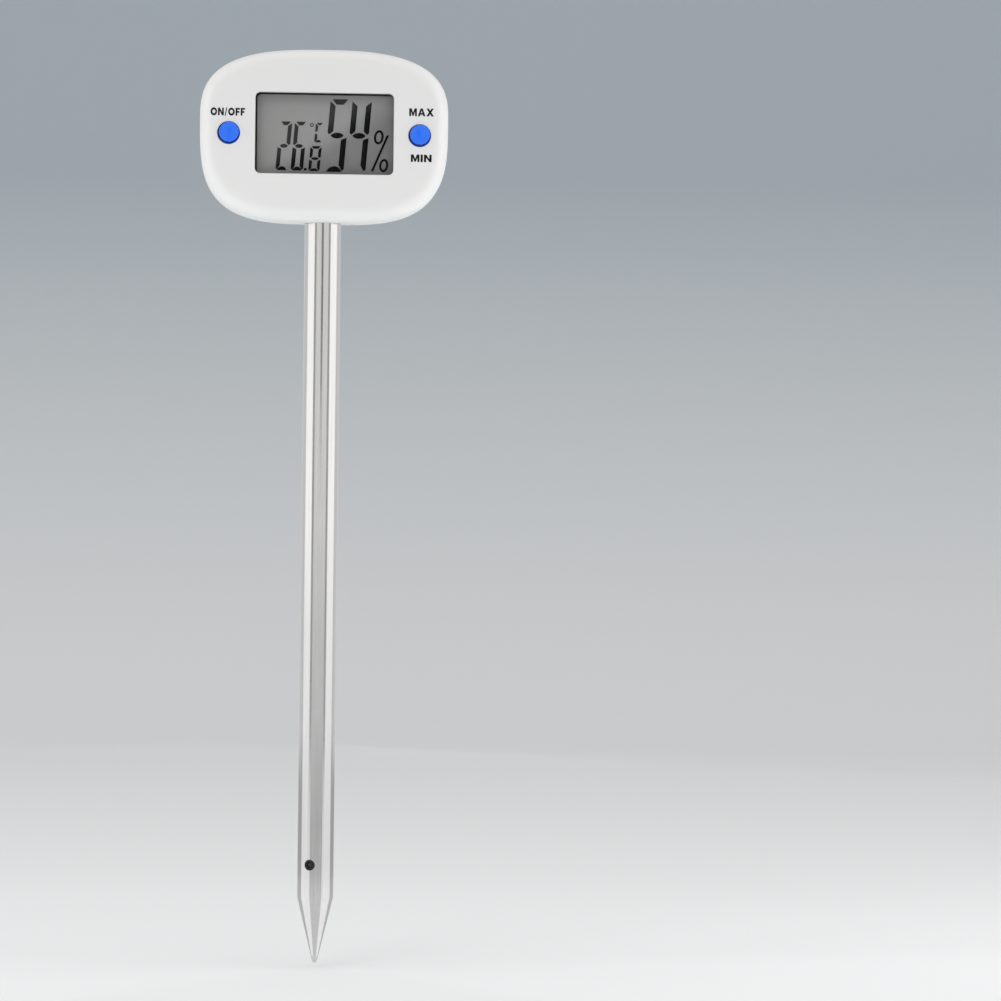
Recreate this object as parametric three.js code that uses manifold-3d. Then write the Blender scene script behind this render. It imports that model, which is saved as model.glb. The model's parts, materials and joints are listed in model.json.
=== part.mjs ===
// A digital soil moisture and temperature meter: a white two-shell head with a liquid crystal display and
// two blue buttons, on a pointed stainless steel probe tube.
// Millimetres. The origin is the probe's tip, +Z runs up the probe, and the display faces -Y.
import * as THREE from 'three';
import { mergeVertices } from 'three/addons/utils/BufferGeometryUtils.js';
import Module from 'manifold-3d';

const wasm = await Module();
wasm.setup();

// ---------------------------------------------------------------- driving dimensions

const QUARTER = Math.PI / 2;
const ROUND_SIDES = 18; // sides of small round pieces
const FIT = 0.1; // gap between flat faces that touch on the real object
const RUNNING = 0.2; // gap around pieces that slide
const BUTTON_GAP = 0.25; // gap around a button's cap, which shows as a dark ring
const OVERRUN = 1; // how far a cutting tool runs past the face it cuts

const head = {
  halfWidth: 30.85,
  topZ: 227.5,
  widestZ: 210.2,
  bottomZ: 184.55,
  topPower: 2.8,
  bottomPower: 3.4,
  faceY: -9.5,
  rearY: 9.8,
  faceWall: 1.6,
  sideWall: 1.8,
  edgeInset: 3.6,
  edgeDepth: 5,
  outlineSteps: 48,
  edgeSteps: 4,
};

const display = { z: 206.4, width: 34.3, height: 20.1, corner: 1.3, chamfer: 0.4 };
const shadowLine = 0.32; // how far the display frame's lip shows inside the window, at its left and top

const button = { x: 23.65, z: 206.4, radius: 2.5, proud: 0.8, flange: 3.05 };
const unitButton = { x: 19.5, z: 209.5, radius: 2.1, sunk: 0.2, flange: 2.9 };
const switchBody = { width: 6, height: 3.15, plunger: 1.6 };

const probe = {
  radius: 4.5,
  wall: 0.6,
  topZ: 193.8,
  taperZ: 16.4,
  tipRadius: 0.7,
  sides: 32,
};
const sensor = { z: 24.7, turn: THREE.MathUtils.degToRad(20.8), radius: 1.3, pin: 0.7 };

const cell = { z: 209.5, radius: 5.8, thickness: 5.4, frontY: 2.9 };
const cover = {
  radius: 9.6,
  thickness: 1,
  sunk: 0.1,
  skirtInner: 6.4,
  skirtOuter: 7.4,
  skirtY: 4.2,
  lugRadius: 8.4,
  lugHeight: 1,
  lugArc: THREE.MathUtils.degToRad(24),
  lead: 12.4, // how far the cover would rise in one full turn
  starts: 3,
};
const coverSeal = { section: 0.35, radius: 9.1 };

const screwSpots = [
  [-21.7, 220.6],
  [21.7, 220.6],
  [-20, 191.4],
  [20, 191.4],
];
const boardScrewSpots = [
  [-23.2, 199.5],
  [23.2, 199.5],
];

// The display stack and the board, each layer from its front Y to its back Y.
const layer = (front, thickness) => ({ front, back: front + thickness });
const faceInnerY = head.faceY + head.faceWall;
const rearInnerY = head.rearY - head.faceWall;
const lens = layer(faceInnerY + FIT, 1);
const lip = layer(lens.back + FIT, 0.5);
const polarizer = layer(lip.back + FIT, 0.15);
const frontGlass = layer(polarizer.back + FIT / 2, 1.1);
const rearGlass = layer(frontGlass.back + FIT / 2, 1.1);
const reflector = layer(rearGlass.back + FIT / 2, 0.3);
const board = layer(-2.4, 1.2);
const glassEdge = { x: 18, bottom: 195.6, top: 217.2, ledgeTop: 219.4 };
const frameEdge = { x: 19, bottom: 194.8, top: 220.2 };

// ---------------------------------------------------------------- geometry helpers

// A geometry as a manifold-3d solid, with its faces pointing out.
function solid(geometry) {
  const loose = geometry.index ? geometry.toNonIndexed() : geometry;
  const bare = new THREE.BufferGeometry().setAttribute('position', loose.getAttribute('position'));
  const merged = mergeVertices(bare, 1e-4);
  const make = (triangles) =>
    new wasm.Manifold(
      new wasm.Mesh({
        numProp: 3,
        vertProperties: merged.attributes.position.array,
        triVerts: Uint32Array.from(triangles),
      }),
    );
  const made = make(merged.index.array);
  return made.volume() > 0 ? made : make([...merged.index.array].reverse());
}

function geometryOf(made) {
  const mesh = made.getMesh();
  return new THREE.BufferGeometry()
    .setAttribute('position', new THREE.BufferAttribute(new Float32Array(mesh.vertProperties), 3))
    .setIndex(new THREE.BufferAttribute(new Uint32Array(mesh.triVerts), 1));
}

const joined = (...solids) => solids.reduce((sum, next) => sum.add(next));
const cut = (base, ...tools) => tools.reduce((rest, tool) => rest.subtract(tool), base);

function block(x0, x1, y0, y1, z0, z1) {
  return solid(
    new THREE.BoxGeometry(x1 - x0, y1 - y0, z1 - z0).translate((x0 + x1) / 2, (y0 + y1) / 2, (z0 + z1) / 2),
  );
}

// A round rod along Y at (x, z).
function rodY(x, z, radius, y0, y1, sides = ROUND_SIDES) {
  return solid(new THREE.CylinderGeometry(radius, radius, y1 - y0, sides).translate(x, (y0 + y1) / 2, z));
}

// A round rod along Z on the probe's axis.
function rodZ(radius, z0, z1, sides = probe.sides) {
  const rod = new THREE.CylinderGeometry(radius, radius, z1 - z0, sides).rotateX(QUARTER);
  return solid(rod.translate(0, 0, (z0 + z1) / 2));
}

// A profile of [radius, along] points turned round the Y axis.
function turnedY(profile, sides = ROUND_SIDES) {
  return solid(new THREE.LatheGeometry(profile.map(([r, y]) => new THREE.Vector2(r, y)), sides));
}

// The same, turned round the Z axis.
function turnedZ(profile, sides = probe.sides) {
  const turned = new THREE.LatheGeometry(profile.map(([r, z]) => new THREE.Vector2(r, z)), sides);
  return solid(turned.rotateX(QUARTER));
}

function roundedRect(x0, x1, z0, z1, r) {
  const shape = new THREE.Shape();
  shape.absarc(x1 - r, z1 - r, r, 0, QUARTER);
  shape.absarc(x0 + r, z1 - r, r, QUARTER, 2 * QUARTER);
  shape.absarc(x0 + r, z0 + r, r, 2 * QUARTER, 3 * QUARTER);
  shape.absarc(x1 - r, z0 + r, r, 3 * QUARTER, 4 * QUARTER);
  return shape;
}

// A shape drawn in X and Z, as a plate from y0 to y1.
function plate(shape, y0, y1, curveSegments = 4) {
  const flat = new THREE.ExtrudeGeometry(shape, { depth: y1 - y0, bevelEnabled: false, curveSegments });
  return solid(flat.rotateX(QUARTER).translate(0, y1, 0));
}

// A ring of round section round the Z axis.
function sealingRing(radius, section) {
  return new THREE.TorusGeometry(radius, section, 6, 26);
}

// A round wire along a smooth line through the points.
function wire(points, radius, steps) {
  const path = new THREE.CatmullRomCurve3(points.map((p) => new THREE.Vector3(...p)));
  const section = new THREE.Shape().absarc(0, 0, radius, 0, 4 * QUARTER);
  const options = { extrudePath: path, steps, curveSegments: 3, bevelEnabled: false };
  return geometryOf(solid(new THREE.ExtrudeGeometry(section, options)));
}

// A bar of square section that climbs a helix round the Y axis, from turn a0 to turn a1.
function helixBar(inner, outer, a0, a1, y0, y1) {
  const steps = Math.ceil((a1 - a0) / 0.22);
  const bar = new THREE.BoxGeometry(1, 1, 1, steps, 1, 1);
  const at = bar.getAttribute('position');
  for (let i = 0; i < at.count; i++) {
    const turn = a0 + (at.getX(i) + 0.5) * (a1 - a0);
    const radius = inner + (at.getZ(i) + 0.5) * (outer - inner);
    const rise = (turn / (4 * QUARTER)) * cover.lead;
    const y = y0 + (at.getY(i) + 0.5) * (y1 - y0) + rise;
    at.setXYZ(i, radius * Math.sin(turn), y, radius * Math.cos(turn));
  }
  return solid(bar);
}

// A closed body through rings of points that follow each other along +Y.
function loft(rings) {
  const count = rings[0].length;
  const points = rings.flat();
  const centre = (ring) => ring.reduce((sum, p) => sum.add(p), new THREE.Vector3()).divideScalar(count);
  const frontCentre = points.push(centre(rings[0])) - 1;
  const rearCentre = points.push(centre(rings.at(-1))) - 1;
  const faces = [];
  for (let i = 0; i < count; i++) {
    const next = (i + 1) % count;
    const rear = (rings.length - 1) * count;
    faces.push(frontCentre, i, next, rearCentre, rear + next, rear + i);
    for (let r = 0; r < rings.length - 1; r++) {
      const a = r * count + i;
      const b = r * count + next;
      faces.push(a, a + count, b, b, a + count, b + count);
    }
  }
  return solid(new THREE.BufferGeometry().setFromPoints(points).setIndex(faces));
}

// ---------------------------------------------------------------- the head's outline and shells

// The outline at a height y, drawn in by inset: two half superellipses that meet on the widest line.
function outline(y, inset) {
  return Array.from({ length: head.outlineSteps }, (_, i) => {
    const turn = (i / head.outlineSteps) * 4 * QUARTER;
    const across = Math.cos(turn);
    const up = Math.sin(turn);
    const power = up > 0 ? head.topPower : head.bottomPower;
    const reach = (up > 0 ? head.topZ - head.widestZ : head.widestZ - head.bottomZ) - inset;
    const bend = (v) => Math.sign(v) * Math.abs(v) ** (2 / power);
    return new THREE.Vector3((head.halfWidth - inset) * bend(across), y, head.widestZ + reach * bend(up));
  });
}

// A dish from startY to faceY whose rim is rounded, for the case's outside (wall 0) or its inside.
function dish(startY, faceY, wall) {
  const side = Math.sign(faceY);
  const rings = [outline(startY, wall)];
  for (let i = 0; i <= head.edgeSteps; i++) {
    const turn = (i / head.edgeSteps) * QUARTER;
    const y = faceY - side * (head.edgeDepth - wall) * (1 - Math.sin(turn));
    rings.push(outline(y, wall + (head.edgeInset - wall) * (1 - Math.cos(turn))));
  }
  return loft(side < 0 ? rings.reverse() : rings);
}

// One half of the case, hollow, open at the parting plane.
function shell(faceY, innerY) {
  const side = Math.sign(faceY);
  const outside = dish((side * FIT) / 2, faceY, 0);
  const inside = dish(-side * OVERRUN, innerY, head.sideWall);
  return cut(outside, inside);
}

// Two ribs that trap the probe's ferrule, for the half of the case on the side of innerY.
const ferrule = {
  bottom: 189.65,
  flangeTop: 191.15,
  top: 194.4,
  inner: probe.radius + FIT,
  outer: 5.6,
  flange: 6.8,
  mouth: 3.6,
};
const ribHalfWidth = 8.5;
const lowRib = { bottom: 188.3, top: 189.5, bore: probe.radius + RUNNING };
const highRib = { bottom: 191.3, top: 192.5, bore: ferrule.outer + RUNNING };
function ferruleRibs(innerY) {
  const side = Math.sign(innerY);
  const [y0, y1] = [(side * FIT) / 2, innerY + side * 0.3].sort((a, b) => a - b);
  const ribs = [lowRib, highRib].map(({ bottom, top, bore }) => {
    const rib = block(-ribHalfWidth, ribHalfWidth, y0, y1, bottom, top);
    return cut(rib, rodZ(bore, bottom - OVERRUN, top + OVERRUN));
  });
  return joined(...ribs);
}
const probeHole = () => rodZ(probe.radius + RUNNING, head.bottomZ - OVERRUN, lowRib.bottom);

const boss = { front: 2.5, rear: 3, seatY: 3, headHole: 2.3, shankHole: 1.25, pilot: 1.1, pilotY: -6.2 };
const boardPost = { radius: 1.9, pilot: 0.85, pilotY: -6.8 };

function frontCase() {
  const { width, height, corner, chamfer, z } = display;
  const opening = (grow) => {
    const [halfX, halfZ] = [width / 2 + grow, height / 2 + grow];
    return roundedRect(-halfX, halfX, z - halfZ, z + halfZ, corner + grow);
  };
  const added = [
    ...screwSpots.map(([x, zz]) => rodY(x, zz, boss.front, faceInnerY - 0.3, -FIT / 2)),
    ...boardScrewSpots.map(([x, zz]) => rodY(x, zz, boardPost.radius, faceInnerY - 0.3, board.front - FIT)),
    ferruleRibs(faceInnerY),
  ];
  const removed = [
    plate(opening(0), head.faceY - OVERRUN, faceInnerY + OVERRUN),
    plate(opening(chamfer), head.faceY - OVERRUN, head.faceY + chamfer),
    ...[-button.x, button.x].map((x) =>
      rodY(x, button.z, button.radius + BUTTON_GAP, head.faceY - OVERRUN, faceInnerY + OVERRUN, 26),
    ),
    ...screwSpots.map(([x, zz]) => rodY(x, zz, boss.pilot, boss.pilotY, OVERRUN, 16)),
    ...boardScrewSpots.map(([x, zz]) =>
      rodY(x, zz, boardPost.pilot, boardPost.pilotY, board.front + OVERRUN, 12),
    ),
    probeHole(),
  ];
  return geometryOf(cut(joined(shell(head.faceY, faceInnerY), ...added), ...removed));
}

// The battery well in the rear case: a counterbore for the cover, a bore with helical grooves for its lugs,
// and a pocket for the cell.
const well = { outer: 11, floorY: 0.3, pocketY: 1.7, boreY: 3.7, counterboreY: 7.9 };
const contactSlot = { halfWidth: 2, depth: 7.2, topY: 4 };
const contactHoleX = 0.5;

function lugGrooves() {
  const gap = RUNNING + 0.05;
  const slack = gap / cover.lugRadius;
  const exitTurn = ((well.counterboreY + gap - cover.skirtY) / cover.lead) * 4 * QUARTER + cover.lugArc;
  return Array.from({ length: cover.starts }, (_, i) =>
    helixBar(
      cover.skirtOuter - 0.4,
      cover.lugRadius + gap,
      -slack,
      exitTurn,
      cover.skirtY - gap,
      cover.skirtY + cover.lugHeight + gap,
    ).rotate([0, (i * 360) / cover.starts, 0]),
  ).map((groove) => groove.translate([0, 0, cell.z]));
}

function rearCase() {
  const { x: unitX, z: unitZ, radius: unitRadius } = unitButton;
  const slab = (y0, y1, inset) => loft([outline(y0, inset), outline(y1, inset)]);
  const lipRing = (y0, y1, outer, inner) => cut(slab(y0, y1, outer), slab(y0 - 0.5, y1 + 0.5, inner));
  const lipInner = head.sideWall + 0.9;
  const added = [
    lipRing(-1.2, 0.6, head.sideWall + FIT, lipInner),
    lipRing(0.4, 2, head.sideWall - 0.3, lipInner),
    ...screwSpots.map(([x, zz]) => rodY(x, zz, boss.rear, FIT / 2, rearInnerY + 0.3)),
    ferruleRibs(rearInnerY),
    rodY(0, cell.z, well.outer, well.floorY, rearInnerY + 0.3, 32),
  ];
  const removed = [
    block(-ribHalfWidth - RUNNING, ribHalfWidth + RUNNING, -2, FIT / 2, head.bottomZ, ferrule.top),
    ...screwSpots.map(([x, zz]) => rodY(x, zz, boss.front + RUNNING, -2, FIT / 2)),
    rodZ(ferrule.flange, lowRib.top, highRib.bottom),
    rodZ(lowRib.bore + 1.8, head.bottomZ + head.sideWall, lowRib.bottom),
    rodY(0, cell.z, cover.radius + RUNNING, well.counterboreY, head.rearY + OVERRUN, 32),
    rodY(0, cell.z, cover.skirtOuter + RUNNING + FIT, well.boreY, head.rearY, 32),
    rodY(0, cell.z, cell.radius + RUNNING + FIT, well.pocketY, head.rearY, 32),
    block(
      -contactSlot.halfWidth,
      contactSlot.halfWidth,
      well.pocketY,
      contactSlot.topY,
      cell.z,
      cell.z + contactSlot.depth,
    ),
    block(-0.9, 0.9, -OVERRUN, well.pocketY + 0.1, cell.z + 5.9, cell.z + 6.9),
    rodY(contactHoleX, cell.z - 3.4, 0.6, -OVERRUN, well.pocketY + 0.1, 12),
    ...lugGrooves(),
    rodY(unitX, unitZ, unitRadius + RUNNING, rearInnerY - OVERRUN, head.rearY + OVERRUN),
    ...screwSpots.map(([x, zz]) => rodY(x, zz, boss.headHole, boss.seatY, head.rearY + OVERRUN)),
    ...screwSpots.map(([x, zz]) => rodY(x, zz, boss.shankHole, -OVERRUN, boss.seatY + 0.5, 16)),
    probeHole(),
  ];
  return geometryOf(cut(joined(shell(head.rearY, rearInnerY), ...added), ...removed));
}

// ---------------------------------------------------------------- the display

function displayWindow() {
  const halfX = glassEdge.x + 0.9;
  const shape = roundedRect(-halfX, halfX, frameEdge.bottom, display.z + display.height / 2 + 1.4, 1);
  return geometryOf(plate(shape, lens.front, lens.back));
}

// An open frame whose lip overlaps the glass. It is set a little down and to the right of the window.
function displayFrame() {
  const { width, height, z } = display;
  const wall = 0.7;
  const { x, bottom, top } = frameEdge;
  const body = block(-x, x, lip.front, board.front - FIT, bottom, top);
  const pocket = block(-x + wall, x - wall, lip.back, board.front + OVERRUN, bottom + wall, top - wall);
  const opening = roundedRect(
    -width / 2 + shadowLine,
    width / 2 + 0.3,
    z - height / 2 - 0.3,
    z + height / 2 - shadowLine,
    display.corner,
  );
  return geometryOf(cut(body, pocket, plate(opening, lip.front - OVERRUN, lip.back + OVERRUN)));
}

function glassSheet({ front, back }, top, inset = 0) {
  const { x, bottom } = glassEdge;
  const sheet = new THREE.BoxGeometry(2 * (x - inset), back - front, top - bottom - 2 * inset);
  return sheet.translate(0, (front + back) / 2, (bottom + top) / 2);
}

function zebraStrip() {
  const height = board.front - frontGlass.back - 2 * FIT;
  return new THREE.BoxGeometry(33, height, 1.6).translate(
    0,
    frontGlass.back + FIT + height / 2,
    (glassEdge.top + glassEdge.ledgeTop) / 2,
  );
}

// ---------------------------------------------------------------- the board and what is on it

function circuitBoard() {
  const [side, bottom, shoulder, neck, top] = [26.3, 195.1, 217, 18.9, 220.2];
  const shape = new THREE.Shape([
    new THREE.Vector2(-side, bottom),
    new THREE.Vector2(side, bottom),
    new THREE.Vector2(side, shoulder),
    new THREE.Vector2(neck, shoulder),
    new THREE.Vector2(neck, top),
    new THREE.Vector2(-neck, top),
    new THREE.Vector2(-neck, shoulder),
    new THREE.Vector2(-side, shoulder),
  ]);
  const { front, back } = board;
  const holes = boardScrewSpots.map(([x, z]) => rodY(x, z, 1.1, front - OVERRUN, back + OVERRUN, 16));
  return geometryOf(cut(plate(shape, front, back), ...holes));
}

// The black epoxy drop over the controller, flat side on the board.
function controllerDrop() {
  return geometryOf(turnedY([[0, 0], [3.2, 0], [3, 0.45], [2.2, 0.8], [1, 0.95], [0, 1]]));
}

function clockCrystal() {
  return new THREE.CylinderGeometry(1, 1, 6, 16).rotateZ(QUARTER);
}

// A push switch on the board's face at y = 0, facing -Y, with a blind hole for its plunger.
const plungerHole = 1.4;
function pushSwitch() {
  const half = switchBody.width / 2;
  const top = -switchBody.height;
  const body = block(-half, half, top, 0, -half, half);
  const hole = rodY(0, 0, switchBody.plunger + 0.15, top - OVERRUN, top + plungerHole);
  return geometryOf(cut(body, hole));
}

// The plunger, with its tip at y = 0 and its foot in the switch's hole.
const plungerProud = 0.9;
function plunger() {
  const { plunger: r } = switchBody;
  return geometryOf(
    turnedY([[0, 0], [r - 0.3, 0], [r, 0.3], [r, plungerProud + 0.7], [0, plungerProud + 0.7]], 20),
  );
}

function selfTappingScrew(headRadius, headHeight, shankRadius, shankLength) {
  const profile = [
    [0, -shankLength],
    [shankRadius * 0.4, -shankLength],
    [shankRadius, -shankLength + 1],
    [shankRadius, 0],
    [headRadius, 0],
    [headRadius, headHeight * 0.5],
    [headRadius * 0.6, headHeight],
    [0, headHeight],
  ];
  const body = turnedY(profile, 12);
  const arm = headRadius * 0.6;
  const slot = [block(-arm, arm, headHeight * 0.45, headHeight + 1, -0.25, 0.25)];
  slot.push(block(-0.25, 0.25, headHeight * 0.45, headHeight + 1, -arm, arm));
  return geometryOf(cut(body, ...slot));
}

// ---------------------------------------------------------------- buttons

function frontButton() {
  const { radius: r, flange, proud } = button;
  const top = head.faceY - proud;
  const back = faceInnerY + 1.05;
  return geometryOf(
    turnedY(
      [
        [0, top],
        [r * 0.6, top + 0.06],
        [r * 0.86, top + 0.26],
        [r * 0.97, top + 0.5],
        [r, top + 0.8],
        [r, faceInnerY + RUNNING],
        [flange, faceInnerY + RUNNING],
        [flange, back],
        [0, back],
      ],
      26,
    ),
  );
}

const unitPlungerTipY = board.back + 0.05 + switchBody.height + plungerProud;
function rearButton() {
  const { radius: r, flange, sunk } = unitButton;
  const top = head.rearY - sunk;
  return geometryOf(
    turnedY([
      [0, unitPlungerTipY + 0.3],
      [1.5, unitPlungerTipY + 0.3],
      [1.5, rearInnerY - 1.1],
      [flange, rearInnerY - 1.1],
      [flange, rearInnerY - RUNNING],
      [r, rearInnerY - RUNNING],
      [r, top - 0.3],
      [r - 0.3, top],
      [0, top],
    ]),
  );
}

// ---------------------------------------------------------------- the battery

// A button cell: the can, with its smaller lid towards the board.
function buttonCell() {
  const { radius: r, thickness: t } = cell;
  const lid = [[0, 0], [4.6, 0], [4.8, 0.5], [5.3, 0.6]];
  const can = [[r - 0.2, 0.8], [r, 1], [r, t - 0.3], [r - 0.3, t], [0, t]];
  return geometryOf(turnedY([...lid, ...can], 28));
}

const coverBackY = head.rearY - cover.sunk;
function batteryCover() {
  const { radius, skirtInner, skirtOuter, skirtY, lugRadius, lugHeight, lugArc, starts } = cover;
  const flangeY = coverBackY - cover.thickness;
  const cellClearY = cell.frontY + cell.thickness + 0.15;
  const body = turnedY(
    [
      [0, cellClearY],
      [skirtInner, cellClearY],
      [skirtInner, skirtY],
      [skirtOuter, skirtY],
      [skirtOuter, flangeY],
      [radius, flangeY],
      [radius, coverBackY - 0.3],
      [radius - 0.3, coverBackY],
      [0, coverBackY],
    ],
    32,
  );
  const lugs = Array.from({ length: starts }, (_, i) => {
    const lug = helixBar(skirtOuter - 0.3, lugRadius, 0, lugArc, skirtY, skirtY + lugHeight);
    return lug.rotate([0, (i * 360) / starts, 0]);
  });
  const coinSlot = block(-6.2, 6.2, coverBackY - 0.8, coverBackY + OVERRUN, -0.9, 0.9);
  return geometryOf(cut(joined(body, ...lugs), coinSlot));
}

// The negative contact: a cone of spring wire under the cell's lid, with a tail through the well's floor.
function negativeContact() {
  const points = [];
  const turns = 2;
  const stepsPerTurn = 12;
  const last = turns * stepsPerTurn;
  for (let i = 0; i <= last; i++) {
    const share = i / last;
    const turn = (i / stepsPerTurn) * 4 * QUARTER;
    const radius = 1.4 + 2 * share;
    points.push([radius * Math.sin(turn), 2.55 - 0.5 * share, -radius * Math.cos(turn)]);
  }
  points.push([0.35, 1.85, -3.4], [contactHoleX, 1.3, -3.4], [contactHoleX, board.back + 0.1, -3.4]);
  return wire(points, 0.25, 38);
}

// The positive contact: a leaf beside the can, with a tail through the well's floor.
function positiveContact() {
  const leaf = block(-1.5, 1.5, well.pocketY + 0.1, 3.6, 6.15, 6.4);
  const tail = block(-0.6, 0.6, board.back + 0.1, well.pocketY + 0.3, 6.15, 6.4);
  return geometryOf(joined(leaf, tail));
}

// ---------------------------------------------------------------- the probe

const crossPin = { radius: 0.75, z: 192.6, halfLength: 5.4 };
const pinHole = (halfLength) =>
  solid(
    new THREE.CylinderGeometry(crossPin.radius + FIT, crossPin.radius + FIT, 2 * halfLength, 16)
      .rotateZ(QUARTER)
      .translate(0, 0, crossPin.z),
  );

function probeTube() {
  const { radius, wall, topZ, taperZ, tipRadius } = probe;
  const bore = radius - wall;
  const body = turnedZ([
    [0, 0],
    [tipRadius * 0.6, 0.15],
    [tipRadius, 0.9],
    [radius, taperZ],
    [radius, topZ],
    [bore, topZ],
    [bore, taperZ + 0.6],
    [0, 5.5],
  ]);
  const sensorHole = rodY(0, sensor.z, sensor.radius + FIT / 2, -radius - OVERRUN, 0).rotate([
    0,
    0,
    -THREE.MathUtils.radToDeg(sensor.turn),
  ]);
  return geometryOf(cut(body, sensorHole, pinHole(radius + OVERRUN)));
}

function probeFerrule() {
  const { bottom, flangeTop, top, inner, outer, flange, mouth } = ferrule;
  const body = turnedZ([
    [inner, bottom],
    [flange, bottom],
    [flange, flangeTop],
    [outer, flangeTop],
    [outer, top],
    [mouth, top],
    [mouth, probe.topZ + FIT],
    [inner, probe.topZ + FIT],
    [inner, bottom],
  ]);
  return geometryOf(cut(body, pinHole(ferrule.outer + OVERRUN)));
}

// The sensor's insulating plug and its electrode pin, along -Y from the probe's axis.
function sensorInsulator() {
  const { radius } = sensor;
  const bore = sensor.pin + FIT / 2;
  return geometryOf(
    turnedY([
      [bore, -probe.radius + 0.25],
      [radius - 0.15, -probe.radius + 0.08],
      [radius, -probe.radius + 0.25],
      [radius, -3.3],
      [radius + 0.6, -3.3],
      [radius + 0.6, -2.6],
      [bore, -2.6],
      [bore, -probe.radius + 0.25],
    ]),
  );
}

function sensorElectrode() {
  const { pin } = sensor;
  return geometryOf(turnedY([[0, -4.2], [pin - 0.15, -4.2], [pin, -4.05], [pin, -1.6], [0, -1.6]], 20));
}

function temperatureBead() {
  return new THREE.SphereGeometry(1.1, 12, 8).scale(1, 1, 1.4);
}

// Wires rise inside the tube behind the cross pin and bend forward to pads on the back of the board.
const wireTopZ = 193;
const wireOnBoardY = board.back + 0.6;
const upTo = (x, padX) => [
  [x, 1.7, wireTopZ],
  [x, 1.5, 195],
  [x, 0.6, 196.3],
  [(x + padX) / 2, -0.35, 197.3],
  [padX, wireOnBoardY, 198.3],
  [padX, wireOnBoardY, 199.6],
];
function probeWire(name) {
  const bottoms = {
    temperature_left: [[-0.6, 0.1, 15.6], [-1, 0.6, 18], [-2, 1.6, 30]],
    temperature_right: [[0.6, 0.1, 15.6], [1, 0.6, 18], [2, 1.6, 30]],
    electrode: [[-0.35, -0.9, sensor.z + 0.1], [-0.2, -0.3, 27], [0, 2, 34]],
  };
  const columns = {
    temperature_left: [-2, -3.2],
    temperature_right: [2, 3.2],
    electrode: [0, 0],
  };
  const [x, padX] = columns[name];
  const middle = name === 'electrode' ? [[0, 2.6, 45], [0, 2.6, 185]] : [[x, 1.7, 45], [x, 1.7, 185]];
  return wire([...bottoms[name], ...middle, ...upTo(x, padX)], 0.4, 30);
}

// ---------------------------------------------------------------- materials

function finish(color, roughness, metalness = 0, extra = {}) {
  return new THREE.MeshStandardMaterial({ color, roughness, metalness, ...extra });
}
const whiteShell = finish(0xe1e1e2, 0.28);
const blueButton = finish(0x2f73ee, 0.4);
const steel = finish(0xc9c9c9, 0.22, 1);
const nickel = finish(0xbfbdb6, 0.3, 1);
const blackPlastic = finish(0x161616, 0.5);
const clear = finish(0xffffff, 0.05, 0, { transparent: true, opacity: 0.2 });
const displayGrey = finish(0x848484, 0.35);
const glass = finish(0xd5ddda, 0.05, 0, { transparent: true, opacity: 0.35 });
const silverFilm = finish(0xa9a9a6, 0.4);
const zebraRubber = finish(0xc98f93, 0.7);
const boardGreen = finish(0x1f6b3c, 0.45);
const graphite = finish(0x2b2b2d, 0.6);
const sealRubber = finish(0x1b1b1b, 0.75);
const whiteInsulation = finish(0xe8e6df, 0.55);
const redInsulation = finish(0xb3251e, 0.55);
const ceramic = finish(0xb59a72, 0.5);
const whiteNylon = finish(0xd9d8d2, 0.5);

// ---------------------------------------------------------------- assembly

const meter = new THREE.Group();

function add(name, geometry, material, [x, y, z] = [0, 0, 0], parent = meter) {
  const mesh = new THREE.Mesh(geometry, material);
  mesh.name = name;
  mesh.position.set(x, y, z);
  parent.add(mesh);
  return mesh;
}

add('front_case', frontCase(), whiteShell);
add('rear_case', rearCase(), whiteShell);
const caseScrew = selfTappingScrew(2, 1.5, 1, 8);
screwSpots.forEach(([x, z], i) => add(`case_screw_${i + 1}`, caseScrew, nickel, [x, boss.seatY + FIT, z]));

add('display_window', displayWindow(), clear);
add('display_frame', displayFrame(), blackPlastic);
add('lcd_polarizer', glassSheet(polarizer, glassEdge.top, 0.1), displayGrey);
add('lcd_front_glass', glassSheet(frontGlass, glassEdge.ledgeTop), glass);
add('lcd_rear_glass', glassSheet(rearGlass, glassEdge.top), glass);
add('lcd_reflector', glassSheet(reflector, glassEdge.top, 0.2), silverFilm);
add('lcd_zebra_strip', zebraStrip(), zebraRubber);

add('circuit_board', circuitBoard(), boardGreen);
const boardScrew = selfTappingScrew(1.7, 1.1, 0.75, 4.6);
boardScrewSpots.forEach(([x, z], i) => {
  add(`board_screw_${i + 1}`, boardScrew, nickel, [x, board.back + FIT, z]);
});
add('controller_drop', controllerDrop(), blackPlastic, [-14, board.back + 0.05, 203]);
add('clock_crystal', clockCrystal(), nickel, [9.5, board.back + 1.05, 197.4]);
add('filter_capacitor_1', new THREE.BoxGeometry(2, 1, 1.2), ceramic, [15.5, board.back + 0.55, 200.2]);
add('filter_capacitor_2', new THREE.BoxGeometry(2, 1, 1.2), ceramic, [-9.5, board.back + 0.55, 197.6]);
add('sensing_resistor', new THREE.BoxGeometry(2, 0.6, 1.2), blackPlastic, [15.5, board.back + 0.35, 203]);

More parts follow.
